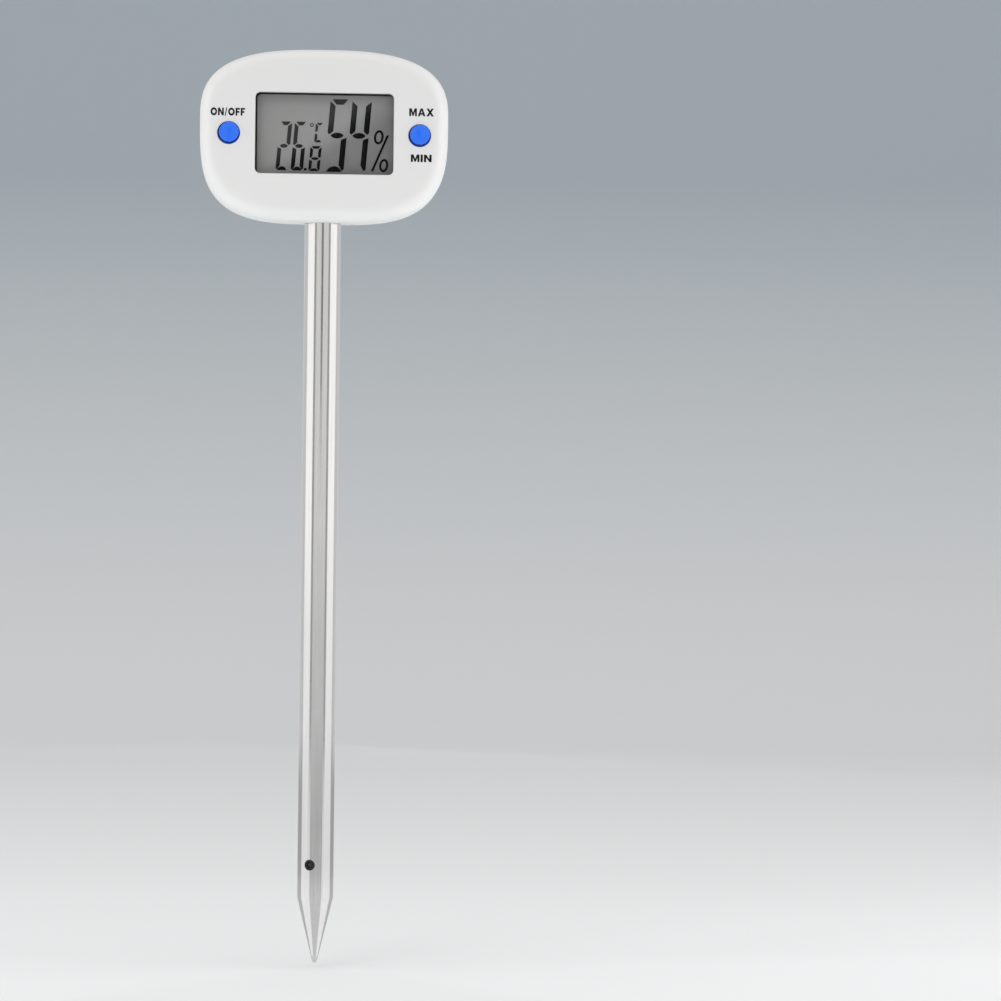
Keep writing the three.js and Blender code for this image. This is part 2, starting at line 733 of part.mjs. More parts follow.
const sides = { on_off: -button.x, max_min: button.x };
const switchFrontY = board.front - 0.05;
for (const [name, x] of Object.entries(sides)) {
  add(`${name}_switch`, pushSwitch(), blackPlastic, [x, switchFrontY, button.z]);
  add(`${name}_plunger`, plunger(), nickel, [x, switchFrontY - switchBody.height - plungerProud, button.z]);
  add(`${name}_button`, frontButton(), blueButton, [x, 0, button.z]);
}
const unitSwitch = new THREE.Group();
unitSwitch.position.set(unitButton.x, board.back + 0.05, unitButton.z);
unitSwitch.rotation.z = Math.PI;
meter.add(unitSwitch);
add('unit_switch', pushSwitch(), blackPlastic, [0, 0, 0], unitSwitch);
add('unit_plunger', plunger(), nickel, [0, -switchBody.height - plungerProud, 0], unitSwitch);
add('unit_button', rearButton(), blueButton, [unitButton.x, 0, unitButton.z]);

add('battery_cell', buttonCell(), nickel, [0, cell.frontY, cell.z]);
add('battery_negative_contact', negativeContact(), nickel, [0, 0, cell.z]);
add('battery_positive_contact', positiveContact(), nickel, [0, 0, cell.z]);
const sealY = well.counterboreY + 0.05 + coverSeal.section;
add('battery_cover', batteryCover(), whiteShell, [0, 0, cell.z]);
const coverSealRing = sealingRing(coverSeal.radius, coverSeal.section).rotateX(QUARTER);
add('battery_cover_seal', coverSealRing, sealRubber, [0, sealY, cell.z]);

add('probe_tube', probeTube(), steel);
add('probe_ferrule', probeFerrule(), whiteNylon);
const pinRod = new THREE.CylinderGeometry(crossPin.radius, crossPin.radius, 2 * crossPin.halfLength, 16);
add('probe_cross_pin', pinRod.rotateZ(QUARTER), steel, [0, 0, crossPin.z]);
const seal = { radius: 5.4, section: 0.65, z: 187.55 };
add('probe_seal', sealingRing(seal.radius, seal.section), sealRubber, [0, 0, seal.z]);

const sensorMount = new THREE.Group();
sensorMount.position.z = sensor.z;
sensorMount.rotation.z = -sensor.turn;
meter.add(sensorMount);
add('sensor_insulator', sensorInsulator(), blackPlastic, [0, 0, 0], sensorMount);
add('sensor_electrode', sensorElectrode(), graphite, [0, 0, 0], sensorMount);

add('temperature_bead', temperatureBead(), blackPlastic, [0, 0, 13.4]);
add('temperature_wire_left', probeWire('temperature_left'), whiteInsulation);
add('temperature_wire_right', probeWire('temperature_right'), whiteInsulation);
add('electrode_wire', probeWire('electrode'), redInsulation);

export default meter;
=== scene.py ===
"""A soil moisture meter's looks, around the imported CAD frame.

X runs to the right of the display, Y from the front to the back and Z up the probe from its tip. The
pieces are built in millimetres; place() and ink_piece() turn them into metres. The stage is in metres.
"""

import json
import math

import bmesh
import bpy
from mathutils import Matrix, Vector


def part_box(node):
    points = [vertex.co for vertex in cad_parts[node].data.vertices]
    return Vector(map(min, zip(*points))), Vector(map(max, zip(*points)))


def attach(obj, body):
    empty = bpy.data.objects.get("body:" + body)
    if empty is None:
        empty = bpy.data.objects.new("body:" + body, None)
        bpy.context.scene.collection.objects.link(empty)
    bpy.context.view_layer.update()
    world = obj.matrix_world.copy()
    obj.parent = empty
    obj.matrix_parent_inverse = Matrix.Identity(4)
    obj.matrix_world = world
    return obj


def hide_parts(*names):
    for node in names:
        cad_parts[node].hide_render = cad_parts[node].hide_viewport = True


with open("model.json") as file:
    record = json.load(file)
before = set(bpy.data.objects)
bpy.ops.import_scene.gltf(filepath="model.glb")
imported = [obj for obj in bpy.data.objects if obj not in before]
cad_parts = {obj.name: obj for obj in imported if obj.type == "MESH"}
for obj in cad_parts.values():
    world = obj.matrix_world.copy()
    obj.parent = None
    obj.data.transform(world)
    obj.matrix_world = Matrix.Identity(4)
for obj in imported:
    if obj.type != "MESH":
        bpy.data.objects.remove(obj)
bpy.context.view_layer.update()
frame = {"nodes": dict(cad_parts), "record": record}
NODES = frame["nodes"]
MM = 0.001
HALF_TURN = math.pi
QUARTER_TURN = HALF_TURN / 2
FULL_TURN = HALF_TURN * 2


def quarter(steps):
    """Angles from 0 to a quarter turn, in even steps."""
    return [QUARTER_TURN * i / steps for i in range(steps + 1)]


def box_mm(node):
    """The low and high corners of a CAD node's box, in millimetres."""
    low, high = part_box(node)
    return low / MM, high / MM


def middle(node):
    low, high = box_mm(node)
    return (low + high) / 2


# ---------------------------------------------------------------- the camera

CAMERA_DISTANCE = 1.1
FRAME_HEIGHT = 0.2502
CAMERA_Z = 0.11597
AIM_X = 0.04525
CAMERA_X = -0.02
CAMERA_YAW = -math.atan((AIM_X - CAMERA_X) / CAMERA_DISTANCE)
CAMERA_ROLL = math.radians(0.655)

camera_data = bpy.data.cameras.new("camera")
camera_data.sensor_width = 36
camera_data.lens = camera_data.sensor_width * CAMERA_DISTANCE / FRAME_HEIGHT
camera_data.clip_start = 0.01
camera = bpy.data.objects.new("camera", camera_data)
camera.matrix_world = (
    Matrix.Translation((CAMERA_X, -CAMERA_DISTANCE, CAMERA_Z))
    @ Matrix.Rotation(CAMERA_YAW, 4, "Z")
    @ Matrix.Rotation(QUARTER_TURN, 4, "X")
    @ Matrix.Rotation(CAMERA_ROLL, 4, "Z")
)
bpy.context.scene.collection.objects.link(camera)
bpy.context.scene.camera = camera

# ---------------------------------------------------------------- sizes, from the CAD frame

FRONT_LOW, FRONT_HIGH = box_mm("front_case")
REAR_LOW, REAR_HIGH = box_mm("rear_case")
HEAD_HALF_WIDTH = FRONT_HIGH.x
HEAD_TOP = FRONT_HIGH.z
HEAD_BOTTOM = REAR_LOW.z
HEAD_WIDEST = 210.2  # height of the widest line, where the two halves of the outline meet
FACE_Y = FRONT_LOW.y
BACK_Y = REAR_HIGH.y
TOP_POWER = 2.8
BOTTOM_POWER = 3.4
EDGE_INSET = 3.6  # how far the rounded edge reaches in over the face
EDGE_DEPTH = 5.0  # and how far it reaches back from it
SIDE_WALL = 1.8
FACE_WALL = 1.6
PARTING_GAP = 0.05
CLEARANCE = 0.2  # the room left between one piece and the next

WINDOW_WIDTH = 34.3
WINDOW_HEIGHT = 20.1
WINDOW_Z = 206.4
WINDOW_CORNER = 1.3
# how far the black band reaches in from the window's left, right, bottom and top edge
WINDOW_BORDER = (0.5, -0.2, -0.2, 0.12)
INK_THICKNESS = 0.02
BUTTON_RADIUS = 2.45
BUTTON_HOLE = 2.8
# the holes sit a little low, so a dark crescent shows below each button
BUTTON_HOLE_OFFSET = (-0.07, -0.22)

TUBE_RADIUS = box_mm("probe_tube")[1].x
TAPER_Z = 16.4  # where the point meets the straight tube
TUBE_WALL = 0.6
HOLLOW_END = 5.5  # the tube's hollow ends in a point at this height
SENSOR_HOLE = 1.35
CROSS_PIN_HOLE = 0.85
SENSOR_Z = middle("sensor_electrode").z
SENSOR_TURN = math.radians(20.8)
SENSOR_PLACE = Matrix.Translation((0, 0, SENSOR_Z)) @ Matrix.Rotation(-SENSOR_TURN, 4, "Z")

# ---------------------------------------------------------------- mesh helpers


def mesh_object(name, bm):
    mesh = bpy.data.meshes.new(name)
    bm.to_mesh(mesh)
    bm.free()
    made = bpy.data.objects.new(name, mesh)
    bpy.context.scene.collection.objects.link(made)
    return made


def drop(obj):
    mesh = obj.data
    bpy.data.objects.remove(obj)
    bpy.data.meshes.remove(mesh)


def apply_modifiers(obj):
    """Swaps the mesh for the one that its modifiers make."""
    bpy.context.view_layer.update()
    evaluated = obj.evaluated_get(bpy.context.evaluated_depsgraph_get())
    baked = bpy.data.meshes.new_from_object(evaluated)
    old = obj.data
    obj.modifiers.clear()
    obj.data = baked
    bpy.data.meshes.remove(old)
    baked.name = obj.name


def combine(base, tool, operation):
    """A boolean of two closed meshes; the tool is used up."""
    modifier = base.modifiers.new("combine", "BOOLEAN")
    modifier.operation = operation
    modifier.solver = "MANIFOLD"
    modifier.object = tool
    apply_modifiers(base)
    drop(tool)


def cut(base, *tools):
    for tool in tools:
        combine(base, tool, "DIFFERENCE")
    return base


def join(base, *tools):
    for tool in tools:
        combine(base, tool, "UNION")


def loft(name, rings):
    """A closed body through rings of points."""
    bm = bmesh.new()
    loops = [[bm.verts.new(point) for point in points] for points in rings]
    count = len(rings[0])
    for low, high in zip(loops, loops[1:]):
        for i in range(count):
            j = (i + 1) % count
            bm.faces.new((low[i], low[j], high[j], high[i]))
    bm.faces.new(reversed(loops[0]))
    bm.faces.new(loops[-1])
    bmesh.ops.recalc_face_normals(bm, faces=bm.faces)
    return mesh_object(name, bm)


def turned(name, profile, sides, centre=(0, 0, 0), axis="Y"):
    """A closed body turned from (radius, along) points.

    A profile that does not start and end on the axis closes on itself.
    """
    bm = bmesh.new()
    angles = [FULL_TURN * i / sides for i in range(sides)]
    solid = profile[0][0] == 0

    def point(radius, along, angle):
        across, up = radius * math.cos(angle), radius * math.sin(angle)
        return (across, along, up) if axis == "Y" else (across, up, along)

    loops = []
    for radius, along in profile:
        if radius == 0:
            loops.append([bm.verts.new(point(0, along, 0))] * sides)
        else:
            loops.append([bm.verts.new(point(radius, along, a)) for a in angles])
    pairs = list(zip(loops, loops[1:])) + ([] if solid else [(loops[-1], loops[0])])
    for low, high in pairs:
        for i in range(sides):
            j = (i + 1) % sides
            corners = list(dict.fromkeys((low[i], low[j], high[j], high[i])))
            if len(corners) > 2:
                bm.faces.new(corners)
    bmesh.ops.recalc_face_normals(bm, faces=bm.faces)
    bmesh.ops.translate(bm, verts=bm.verts, vec=centre)
    return mesh_object(name, bm)


def block(name, low, high):
    bm = bmesh.new()
    bmesh.ops.create_cube(bm, size=1)
    size = Vector(high) - Vector(low)
    bmesh.ops.scale(bm, verts=bm.verts, vec=size)
    bmesh.ops.translate(bm, verts=bm.verts, vec=(Vector(high) + Vector(low)) / 2)
    return mesh_object(name, bm)


def rod(radius, y0, y1, x, z, sides=48):
    """A round tool that runs from front to back."""
    return turned("tool", [(0, y0), (radius, y0), (radius, y1), (0, y1)], sides, (x, 0, z))


def upright_rod(radius, bottom, top):
    """A round tool along the probe's axis."""
    return turned("tool", [(0, bottom), (radius, bottom), (radius, top), (0, top)], 64, axis="Z")


def shade(obj, sharp_degrees):
    """Smooth shading with sharp edges kept and the flat faces' normals even."""
    obj.data.shade_smooth()
    obj.data.set_sharp_from_angle(angle=math.radians(sharp_degrees))
    weighted = obj.modifiers.new("even_normals", "WEIGHTED_NORMAL")
    weighted.keep_sharp = True
    weighted.mode = "FACE_AREA"
    apply_modifiers(obj)


def place(obj, body, slot, replaced=(), sharp_degrees=32):
    """Turns millimetres into metres, shades the piece and puts it on its body."""
    shade(obj, sharp_degrees)
    obj.data.transform(Matrix.Scale(MM, 4))
    obj.data.materials.clear()
    obj.data.materials.append(MATERIALS[slot])
    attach(obj, body)
    if replaced:
        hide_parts(*replaced)


# ---------------------------------------------------------------- node material helpers


class Nodes:
    """A material's node tree, with short calls to add to it."""

    def __init__(self, name):
        self.material = bpy.data.materials.new(name)
        self.material.use_nodes = True
        self.tree = self.material.node_tree
        self.shader = self.tree.nodes["Principled BSDF"]

    def add(self, kind, **sockets):
        node = self.tree.nodes.new(kind)
        for key, value in sockets.items():
            node.inputs[key.replace("_", " ")].default_value = value
        return node

    def link(self, source, target):
        self.tree.links.new(source, target)

    def set(self, **sockets):
        for key, value in sockets.items():
            self.shader.inputs[key.replace("_", " ")].default_value = value

    def coords(self, scale=(1, 1, 1)):
        """Object coordinates in millimetres, stretched."""
        where = self.add("ShaderNodeTexCoord")
        mapping = self.add("ShaderNodeMapping")
        mapping.inputs["Scale"].default_value = [s / MM for s in scale]
        self.link(where.outputs["Object"], mapping.inputs["Vector"])
        return mapping.outputs["Vector"]

    def noise(self, vector, scale, detail=3.0, roughness=0.5):
        node = self.add("ShaderNodeTexNoise", Scale=scale, Detail=detail, Roughness=roughness)
        self.link(vector, node.inputs["Vector"])
        return node.outputs["Fac"]

    def ramp(self, factor, low, high, start=0.0, end=1.0):
        """Maps factor from start..end to low..high, as a number."""
        node = self.add("ShaderNodeMapRange")
        for key, value in {"From Min": start, "From Max": end, "To Min": low, "To Max": high}.items():
            node.inputs[key].default_value = value
        self.link(factor, node.inputs["Value"])
        return node.outputs["Result"]

    def total(self, a, b):
        node = self.add("ShaderNodeMath")
        self.link(a, node.inputs[0])
        self.link(b, node.inputs[1])
        return node.outputs[0]

    def mix(self, factor, dark, light):
        node = self.tree.nodes.new("ShaderNodeMix")
        node.data_type = "RGBA"
        node.inputs[6].default_value = (*dark, 1)
        node.inputs[7].default_value = (*light, 1)
        self.link(factor, node.inputs[0])
        return node.outputs[2]

    def bump(self, height, distance_mm):
        node = self.add("ShaderNodeBump", Strength=1.0, Distance=distance_mm * MM)
        self.link(height, node.inputs["Height"])
        self.link(node.outputs["Normal"], self.shader.inputs["Normal"])

    def colour(self, socket):
        self.link(socket, self.shader.inputs["Base Color"])

    def roughness(self, socket):
        self.link(socket, self.shader.inputs["Roughness"])


def moulded(name, dark, light, gloss, grain_mm=0.35, grain_depth_mm=0.004, coat=0.0):
    """Injection moulded plastic: faint flow mottling, a fine mould grain and slightly uneven gloss."""
    n = Nodes(name)
    where = n.coords()
    n.colour(n.mix(n.ramp(n.noise(where, 0.06, 2), 0, 1, 0.25, 0.75), dark, light))
    n.roughness(n.ramp(n.noise(where, 0.25, 4), gloss * 0.88, gloss * 1.15, 0.3, 0.7))
    n.bump(n.noise(where, 1 / grain_mm, 2), grain_depth_mm)
    n.set(IOR=1.5, Coat_Weight=coat, Coat_Roughness=0.08)
    return n.material


def metal(name, dark, light, gloss, streak=(1, 1, 1), streak_scale=1.2, depth_mm=0.002):
    """Plated or polished metal with fine streaks along one axis."""
    n = Nodes(name)
    where = n.coords(streak)
    streaks = n.noise(where, streak_scale, 5, 0.6)
    n.colour(n.mix(n.ramp(streaks, 0, 1, 0.3, 0.7), dark, light))
    n.roughness(n.ramp(streaks, gloss * 0.75, gloss * 1.12, 0.3, 0.7))
    n.bump(streaks, depth_mm)
    n.set(Metallic=1.0)
    return n.material


def clear_sheet(name, tint, alpha, gloss):
    """Clear acrylic or glass: mostly see-through, with a clean surface and faint wipe marks."""
    n = Nodes(name)
    where = n.coords()
    n.roughness(n.ramp(n.noise(where, 0.15, 4), gloss * 0.8, gloss * 1.5, 0.3, 0.7))
    n.set(Base_Color=(*tint, 1), Alpha=alpha, IOR=1.49, Specular_IOR_Level=0.08)
    return n.material


MATERIALS = {
    "white_plastic": moulded("white_abs", (0.72, 0.721, 0.723), (0.733, 0.734, 0.736), 0.33, 0.5, 0.0012),
    "blue_plastic": moulded(
        "blue_plastic", (0.003, 0.138, 0.85), (0.005, 0.15, 0.89), 0.21, 0.4, 0.002, coat=0.35
    ),
    "black_plastic": moulded(
        "black_plastic", (0.004, 0.004, 0.004), (0.008, 0.008, 0.0085), 0.5, 0.25, 0.006
    ),
    "clear_plastic": clear_sheet("clear_window", (0.02, 0.022, 0.022), 0.1, 0.05),
    "display_glass": clear_sheet("display_glass", (0.80, 0.85, 0.83), 0.3, 0.04),
    "silver_film": metal("silver_film", (0.42, 0.42, 0.41), (0.5, 0.5, 0.49), 0.38, (1, 1, 1), 3.0, 0.001),
    "zebra_rubber": moulded("zebra_rubber", (0.45, 0.22, 0.23), (0.55, 0.3, 0.31), 0.7, 0.2, 0.01),
    "board_green": moulded("board_green", (0.012, 0.11, 0.04), (0.02, 0.15, 0.06), 0.35, 0.5, 0.01),
    "nickel_steel": metal("nickel_plate", (0.56, 0.55, 0.52), (0.66, 0.65, 0.62), 0.24),
    "ceramic_tan": moulded("ceramic_tan", (0.4, 0.28, 0.15), (0.48, 0.35, 0.2), 0.55, 0.15, 0.008),
    "ferrule_nylon": moulded("ferrule_nylon", (0.68, 0.66, 0.6), (0.74, 0.72, 0.67), 0.5, 0.3, 0.008),
    "seal_rubber": moulded("seal_rubber", (0.012, 0.012, 0.012), (0.022, 0.022, 0.022), 0.65, 0.2, 0.01),
    "graphite": moulded("graphite", (0.012, 0.012, 0.013), (0.025, 0.025, 0.027), 0.6, 0.12, 0.012),
    "white_insulation": moulded("white_insulation", (0.76, 0.74, 0.7), (0.82, 0.8, 0.76), 0.5, 0.2, 0.006),
    "red_insulation": moulded("red_insulation", (0.4, 0.025, 0.018), (0.5, 0.035, 0.025), 0.5, 0.2, 0.006),
}


def probe_steel():
    """Polished stainless tube: drawn lines along it and a few faint handling marks."""
    n = Nodes("stainless_steel")
    lines = n.noise(n.coords((1.0, 1.0, 0.012)), 3.5, 6, 0.65)
    cloud = n.noise(n.coords(), 0.12, 4)
    n.colour(n.mix(n.ramp(lines, 0, 1, 0.3, 0.7), (0.66, 0.66, 0.66), (0.74, 0.74, 0.735)))
    n.roughness(n.ramp(cloud, 0.085, 0.15, 0.3, 0.7))
    n.bump(lines, 0.0022)
    n.set(Metallic=1.0)
    return n.material


def painted_reflection_ramp(n, where, start, end):
    """Grows from 0 towards the display's top left to 1 towards its bottom right: the mask for the display's
    painted reflection.
    """
    low, high = box_mm("lcd_polarizer")
    split = n.add("ShaderNodeSeparateXYZ")
    n.link(where, split.inputs["Vector"])
    across = n.ramp(split.outputs["X"], 0.0, 0.68, low.x, high.x)
    down = n.ramp(split.outputs["Z"], 0.7, 0.0, low.z, high.z)
    return n.ramp(n.total(across, down), 0.0, 1.0, start, end)


def display_film():
    """The display's grey polarizing film: satin, with a painted reflection lighter towards the top left."""
    n = Nodes("display_film")
    where = n.coords()
    grain = n.ramp(n.noise(where, 0.5, 3), -0.05, 0.05, 0.3, 0.7)
    # painted reflection: the film lighter towards the top left, with a little random grain
    painted_reflection_and_grain = n.total(painted_reflection_ramp(n, where, 0.68, 0.88), grain)
    n.colour(n.mix(painted_reflection_and_grain, (0.43, 0.43, 0.429), (0.29, 0.29, 0.29)))
    n.roughness(n.ramp(n.noise(where, 0.2, 3), 0.3, 0.42, 0.3, 0.7))
    n.bump(n.noise(where, 6.0, 2), 0.0015)
    n.set(Specular_IOR_Level=0.2)
    return n.material


def display_ink():
    """Liquid crystal segments: greyer towards the top left, a painted reflection."""
    n = Nodes("display_ink")
    where = n.coords()
    # painted reflection: the segments lighter towards the top left
    n.colour(n.mix(painted_reflection_ramp(n, where, 0.6, 0.76), (0.048, 0.048, 0.05), (0.002, 0.002, 0.003)))
    n.roughness(n.ramp(n.noise(where, 1.0, 2), 0.35, 0.5, 0.3, 0.7))
    n.set(Specular_IOR_Level=0.1)
    return n.material


def printed_ink():
    """Pad-printed lettering: matt black with slightly uneven cover."""
    n = Nodes("printed_ink")
    where = n.coords()
    cover = n.ramp(n.noise(where, 4.0, 3), 0, 1, 0.3, 0.7)
    n.colour(n.mix(cover, (0.003, 0.003, 0.0035), (0.007, 0.007, 0.008)))
    n.roughness(n.ramp(n.noise(where, 3.0, 3), 0.45, 0.6, 0.3, 0.7))
    n.bump(n.noise(where, 8.0, 2), 0.002)
    n.set(Specular_IOR_Level=0.2)
    return n.material


MATERIALS["probe_steel"] = probe_steel()
MATERIALS["display_grey"] = display_film()
DISPLAY_INK = display_ink()
PRINTED_INK = printed_ink()

# ---------------------------------------------------------------- the head's shells

OUTLINE_POINTS = 180


def bend(value, power):
    """A sine or cosine reshaped for a superellipse of this power."""
    return math.copysign(abs(value) ** (2 / power), value)


def outline_point(turn, inset):
    """The head's outline drawn in by inset: two half superellipses that meet on the widest line."""
    up = math.sin(turn)
    power = TOP_POWER if up > 0 else BOTTOM_POWER
    reach = (HEAD_TOP - HEAD_WIDEST if up > 0 else HEAD_WIDEST - HEAD_BOTTOM) - inset
    return (HEAD_HALF_WIDTH - inset) * bend(math.cos(turn), power), HEAD_WIDEST + reach * bend(up, power)


def even_turns():
    """Turns that space the outline's points evenly along it."""
    steps = 6000
    fine = [outline_point(FULL_TURN * i / steps, 0) for i in range(steps + 1)]
    along = [0.0]
    for a, b in zip(fine, fine[1:]):
        along.append(along[-1] + math.dist(a, b))
    turns, j = [], 0
    for i in range(OUTLINE_POINTS):
        while along[j] < along[-1] * i / OUTLINE_POINTS:
            j += 1
        turns.append(FULL_TURN * j / steps)
    return turns


TURNS = even_turns()


def ring(y, inset):
    """The head's outline at one depth, drawn in by inset."""
    points = (outline_point(turn, inset) for turn in TURNS)
    return [(x, y, z) for x, z in points]


def dish(name, start_y, face_y, wall, steps, rim=0.0):
    """One side of the case as a solid, from the parting plane to its face.

    rim rounds the edge at the parting. wall is how far the whole form lies inside the outer one.
    """
    side = math.copysign(1, face_y)
    if rim:
        rings = [
            ring(start_y + side * rim * (1 - math.cos(turn)), rim * (1 - math.sin(turn)))
            for turn in quarter(4)
        ]
    else:
        rings = [ring(start_y, wall)]
    for turn in quarter(steps):
        y = face_y - side * (EDGE_DEPTH - wall) * (1 - math.sin(turn))
        rings.append(ring(y, wall + (EDGE_INSET - wall) * (1 - math.cos(turn))))
    rings.append(ring(face_y, EDGE_INSET + 0.5))
    return loft(name, rings)


def rounded_rectangle(y, width, height, corner, centre_z, steps=8):
    points = []
    for corner_number, (sx, sz) in enumerate([(1, 1), (-1, 1), (-1, -1), (1, -1)]):
        cx = sx * (width / 2 - corner)
        cz = centre_z + sz * (height / 2 - corner)
        for i in range(steps + 1):
            turn = (corner_number + i / steps) * QUARTER_TURN
            points.append((cx + corner * math.cos(turn), y, cz + corner * math.sin(turn)))
    return points


def window_tool():
    """Cuts the window and rounds its front edge."""
    fillet = 0.4

    def at(y, grow):
        width = WINDOW_WIDTH + 2 * grow
        height = WINDOW_HEIGHT + 2 * grow
        return rounded_rectangle(y, width, height, WINDOW_CORNER + grow, WINDOW_Z)

    rings = [at(FACE_Y - 1, fillet)]
    for turn in quarter(5):
        rings.append(at(FACE_Y + fillet * (1 - math.cos(turn)), fillet * (1 - math.sin(turn))))
    rings.append(at(FACE_Y + 4, 0))
    return loft("tool", rings)


def hole_tool(x, z, radius, face_y, depth, fillet=0.25):
    """Cuts a round hole in from a face and rounds its edge."""
    side = -math.copysign(1, face_y)
    profile = [(0, face_y - side), (radius + fillet, face_y - side)]
    for turn in quarter(5):
        y = face_y + side * fillet * (1 - math.cos(turn))
        profile.append((radius + fillet * (1 - math.sin(turn)), y))
    profile += [(radius, face_y + side * depth), (0, face_y + side * depth)]
    return turned("tool", profile, 64, (x, 0, z))


SCREWS = [middle(f"case_screw_{i}") for i in (1, 2, 3, 4)]
BOARD_SCREWS = [middle(f"board_screw_{i}") for i in (1, 2)]
ROOT = 0.3  # how far a boss, rib or well runs into the wall that it stands on
FRONT_BOSS = 2.5
REAR_BOSS = 3.0
BOARD_POST = 1.9
CASE_SCREW_PILOT = 1.1
CASE_SCREW_PILOT_Y = -6.2
BOARD_SCREW_PILOT = 0.85
BOARD_SCREW_PILOT_Y = -6.8
TUBE_HOLE = TUBE_RADIUS + CLEARANCE
# each rib's bottom, top and bore
LOW_RIB = (188.3, 189.5, TUBE_HOLE)
HIGH_RIB = (191.3, 192.5, 5.8)
RIB_HALF_WIDTH = 8.5
FERRULE_FLANGE_HOLE = 6.8
PROBE_SEAL_HOLE = 6.5


def tube_hole():
    """Lets the tube into the head from below, up to the low rib."""
    return upright_rod(TUBE_HOLE, HEAD_BOTTOM - 1, LOW_RIB[0])


def ribs(start_y, end_y):
    """The two ribs that hold the probe's ferrule, each with its bore."""
    made = []
    for bottom, top, bore in (LOW_RIB, HIGH_RIB):
        low = (-RIB_HALF_WIDTH, min(start_y, end_y), bottom)
        high = (RIB_HALF_WIDTH, max(start_y, end_y), top)
        made.append(cut(block("tool", low, high), upright_rod(bore, bottom - 1, top + 1)))
    return made


def front_case():
    """The front shell with its window, button holes, screw bosses, board posts and ribs."""
    inner = FACE_Y + FACE_WALL
    case = dish("front_shell", -PARTING_GAP, FACE_Y, 0, 12, rim=0.2)
    cut(case, dish("tool", 1, inner, SIDE_WALL, 8))
    for screw in SCREWS:
        join(case, rod(FRONT_BOSS, inner - ROOT, -PARTING_GAP, screw.x, screw.z))
    post_end = box_mm("circuit_board")[0].y - 0.1
    for screw in BOARD_SCREWS:
        join(case, rod(BOARD_POST, inner - ROOT, post_end, screw.x, screw.z))
    join(case, *ribs(inner - ROOT, -PARTING_GAP))
    cut(case, window_tool())
    for name in ("on_off_button", "max_min_button"):
        spot = middle(name)
        across, down = BUTTON_HOLE_OFFSET
        hole = hole_tool(spot.x + across, spot.z + down, BUTTON_HOLE, FACE_Y, depth=3, fillet=0.15)
        cut(case, hole)
    for screw in SCREWS:
        cut(case, rod(CASE_SCREW_PILOT, CASE_SCREW_PILOT_Y, 1, screw.x, screw.z, 24))
    for screw in BOARD_SCREWS:
        cut(case, rod(BOARD_SCREW_PILOT, BOARD_SCREW_PILOT_Y, -1, screw.x, screw.z, 24))
    cut(case, tube_hole())
    place(case, "head", "white_plastic", ["front_case"])


front_case()

# ---------------------------------------------------------------- the back of the head

COVER_LOW, COVER_HIGH = box_mm("battery_cover")
COVER = middle("battery_cover")
COVER_RADIUS = (COVER_HIGH.x - COVER_LOW.x) / 2
COVER_THICKNESS = 1.0
COVER_STARTS = 3
SKIRT_RADIUS = 7.4
SKIRT_BOTTOM = COVER_LOW.y
LUG_RADIUS = 8.4
LUG_ARC = math.radians(24)
LUG_HEIGHT = 1.0
LUG_CLEARANCE = 0.25
THREAD_LEAD = 12.4
SKIRT_INNER = 6.4
WELL_RADIUS = 11.0
# the well's floor, and how deep the cell's pocket, the skirt's bore and the cover's counterbore reach
WELL_FLOOR = 0.3
POCKET_Y = 1.7
BORE_Y = 3.7
COUNTERBORE_Y = 7.9
CELL_RADIUS = 5.8
SCREW_SEAT_Y = 3.0
SCREW_HEAD_HOLE = 2.3
SCREW_SHANK_HOLE = 1.25
UNIT = middle("unit_button")
UNIT_RADIUS = 2.1


def helix_bar(inner, outer, start, end, y0, y1, first=0.0):
    """A bar of square section that climbs a helix round the cover's axis."""
    longest_step = 0.08
    steps = math.ceil((end - start) / longest_step)
    rings = []
    for i in range(steps + 1):
        turn = start + (end - start) * i / steps
        rise = turn / FULL_TURN * THREAD_LEAD
        around = turn + first
        corners = [(inner, y0), (outer, y0), (outer, y1), (inner, y1)]
        across, up = math.sin(around), math.cos(around)
        rings.append([(r * across, y + rise, COVER.z + r * up) for r, y in corners])
    return loft("tool", rings)


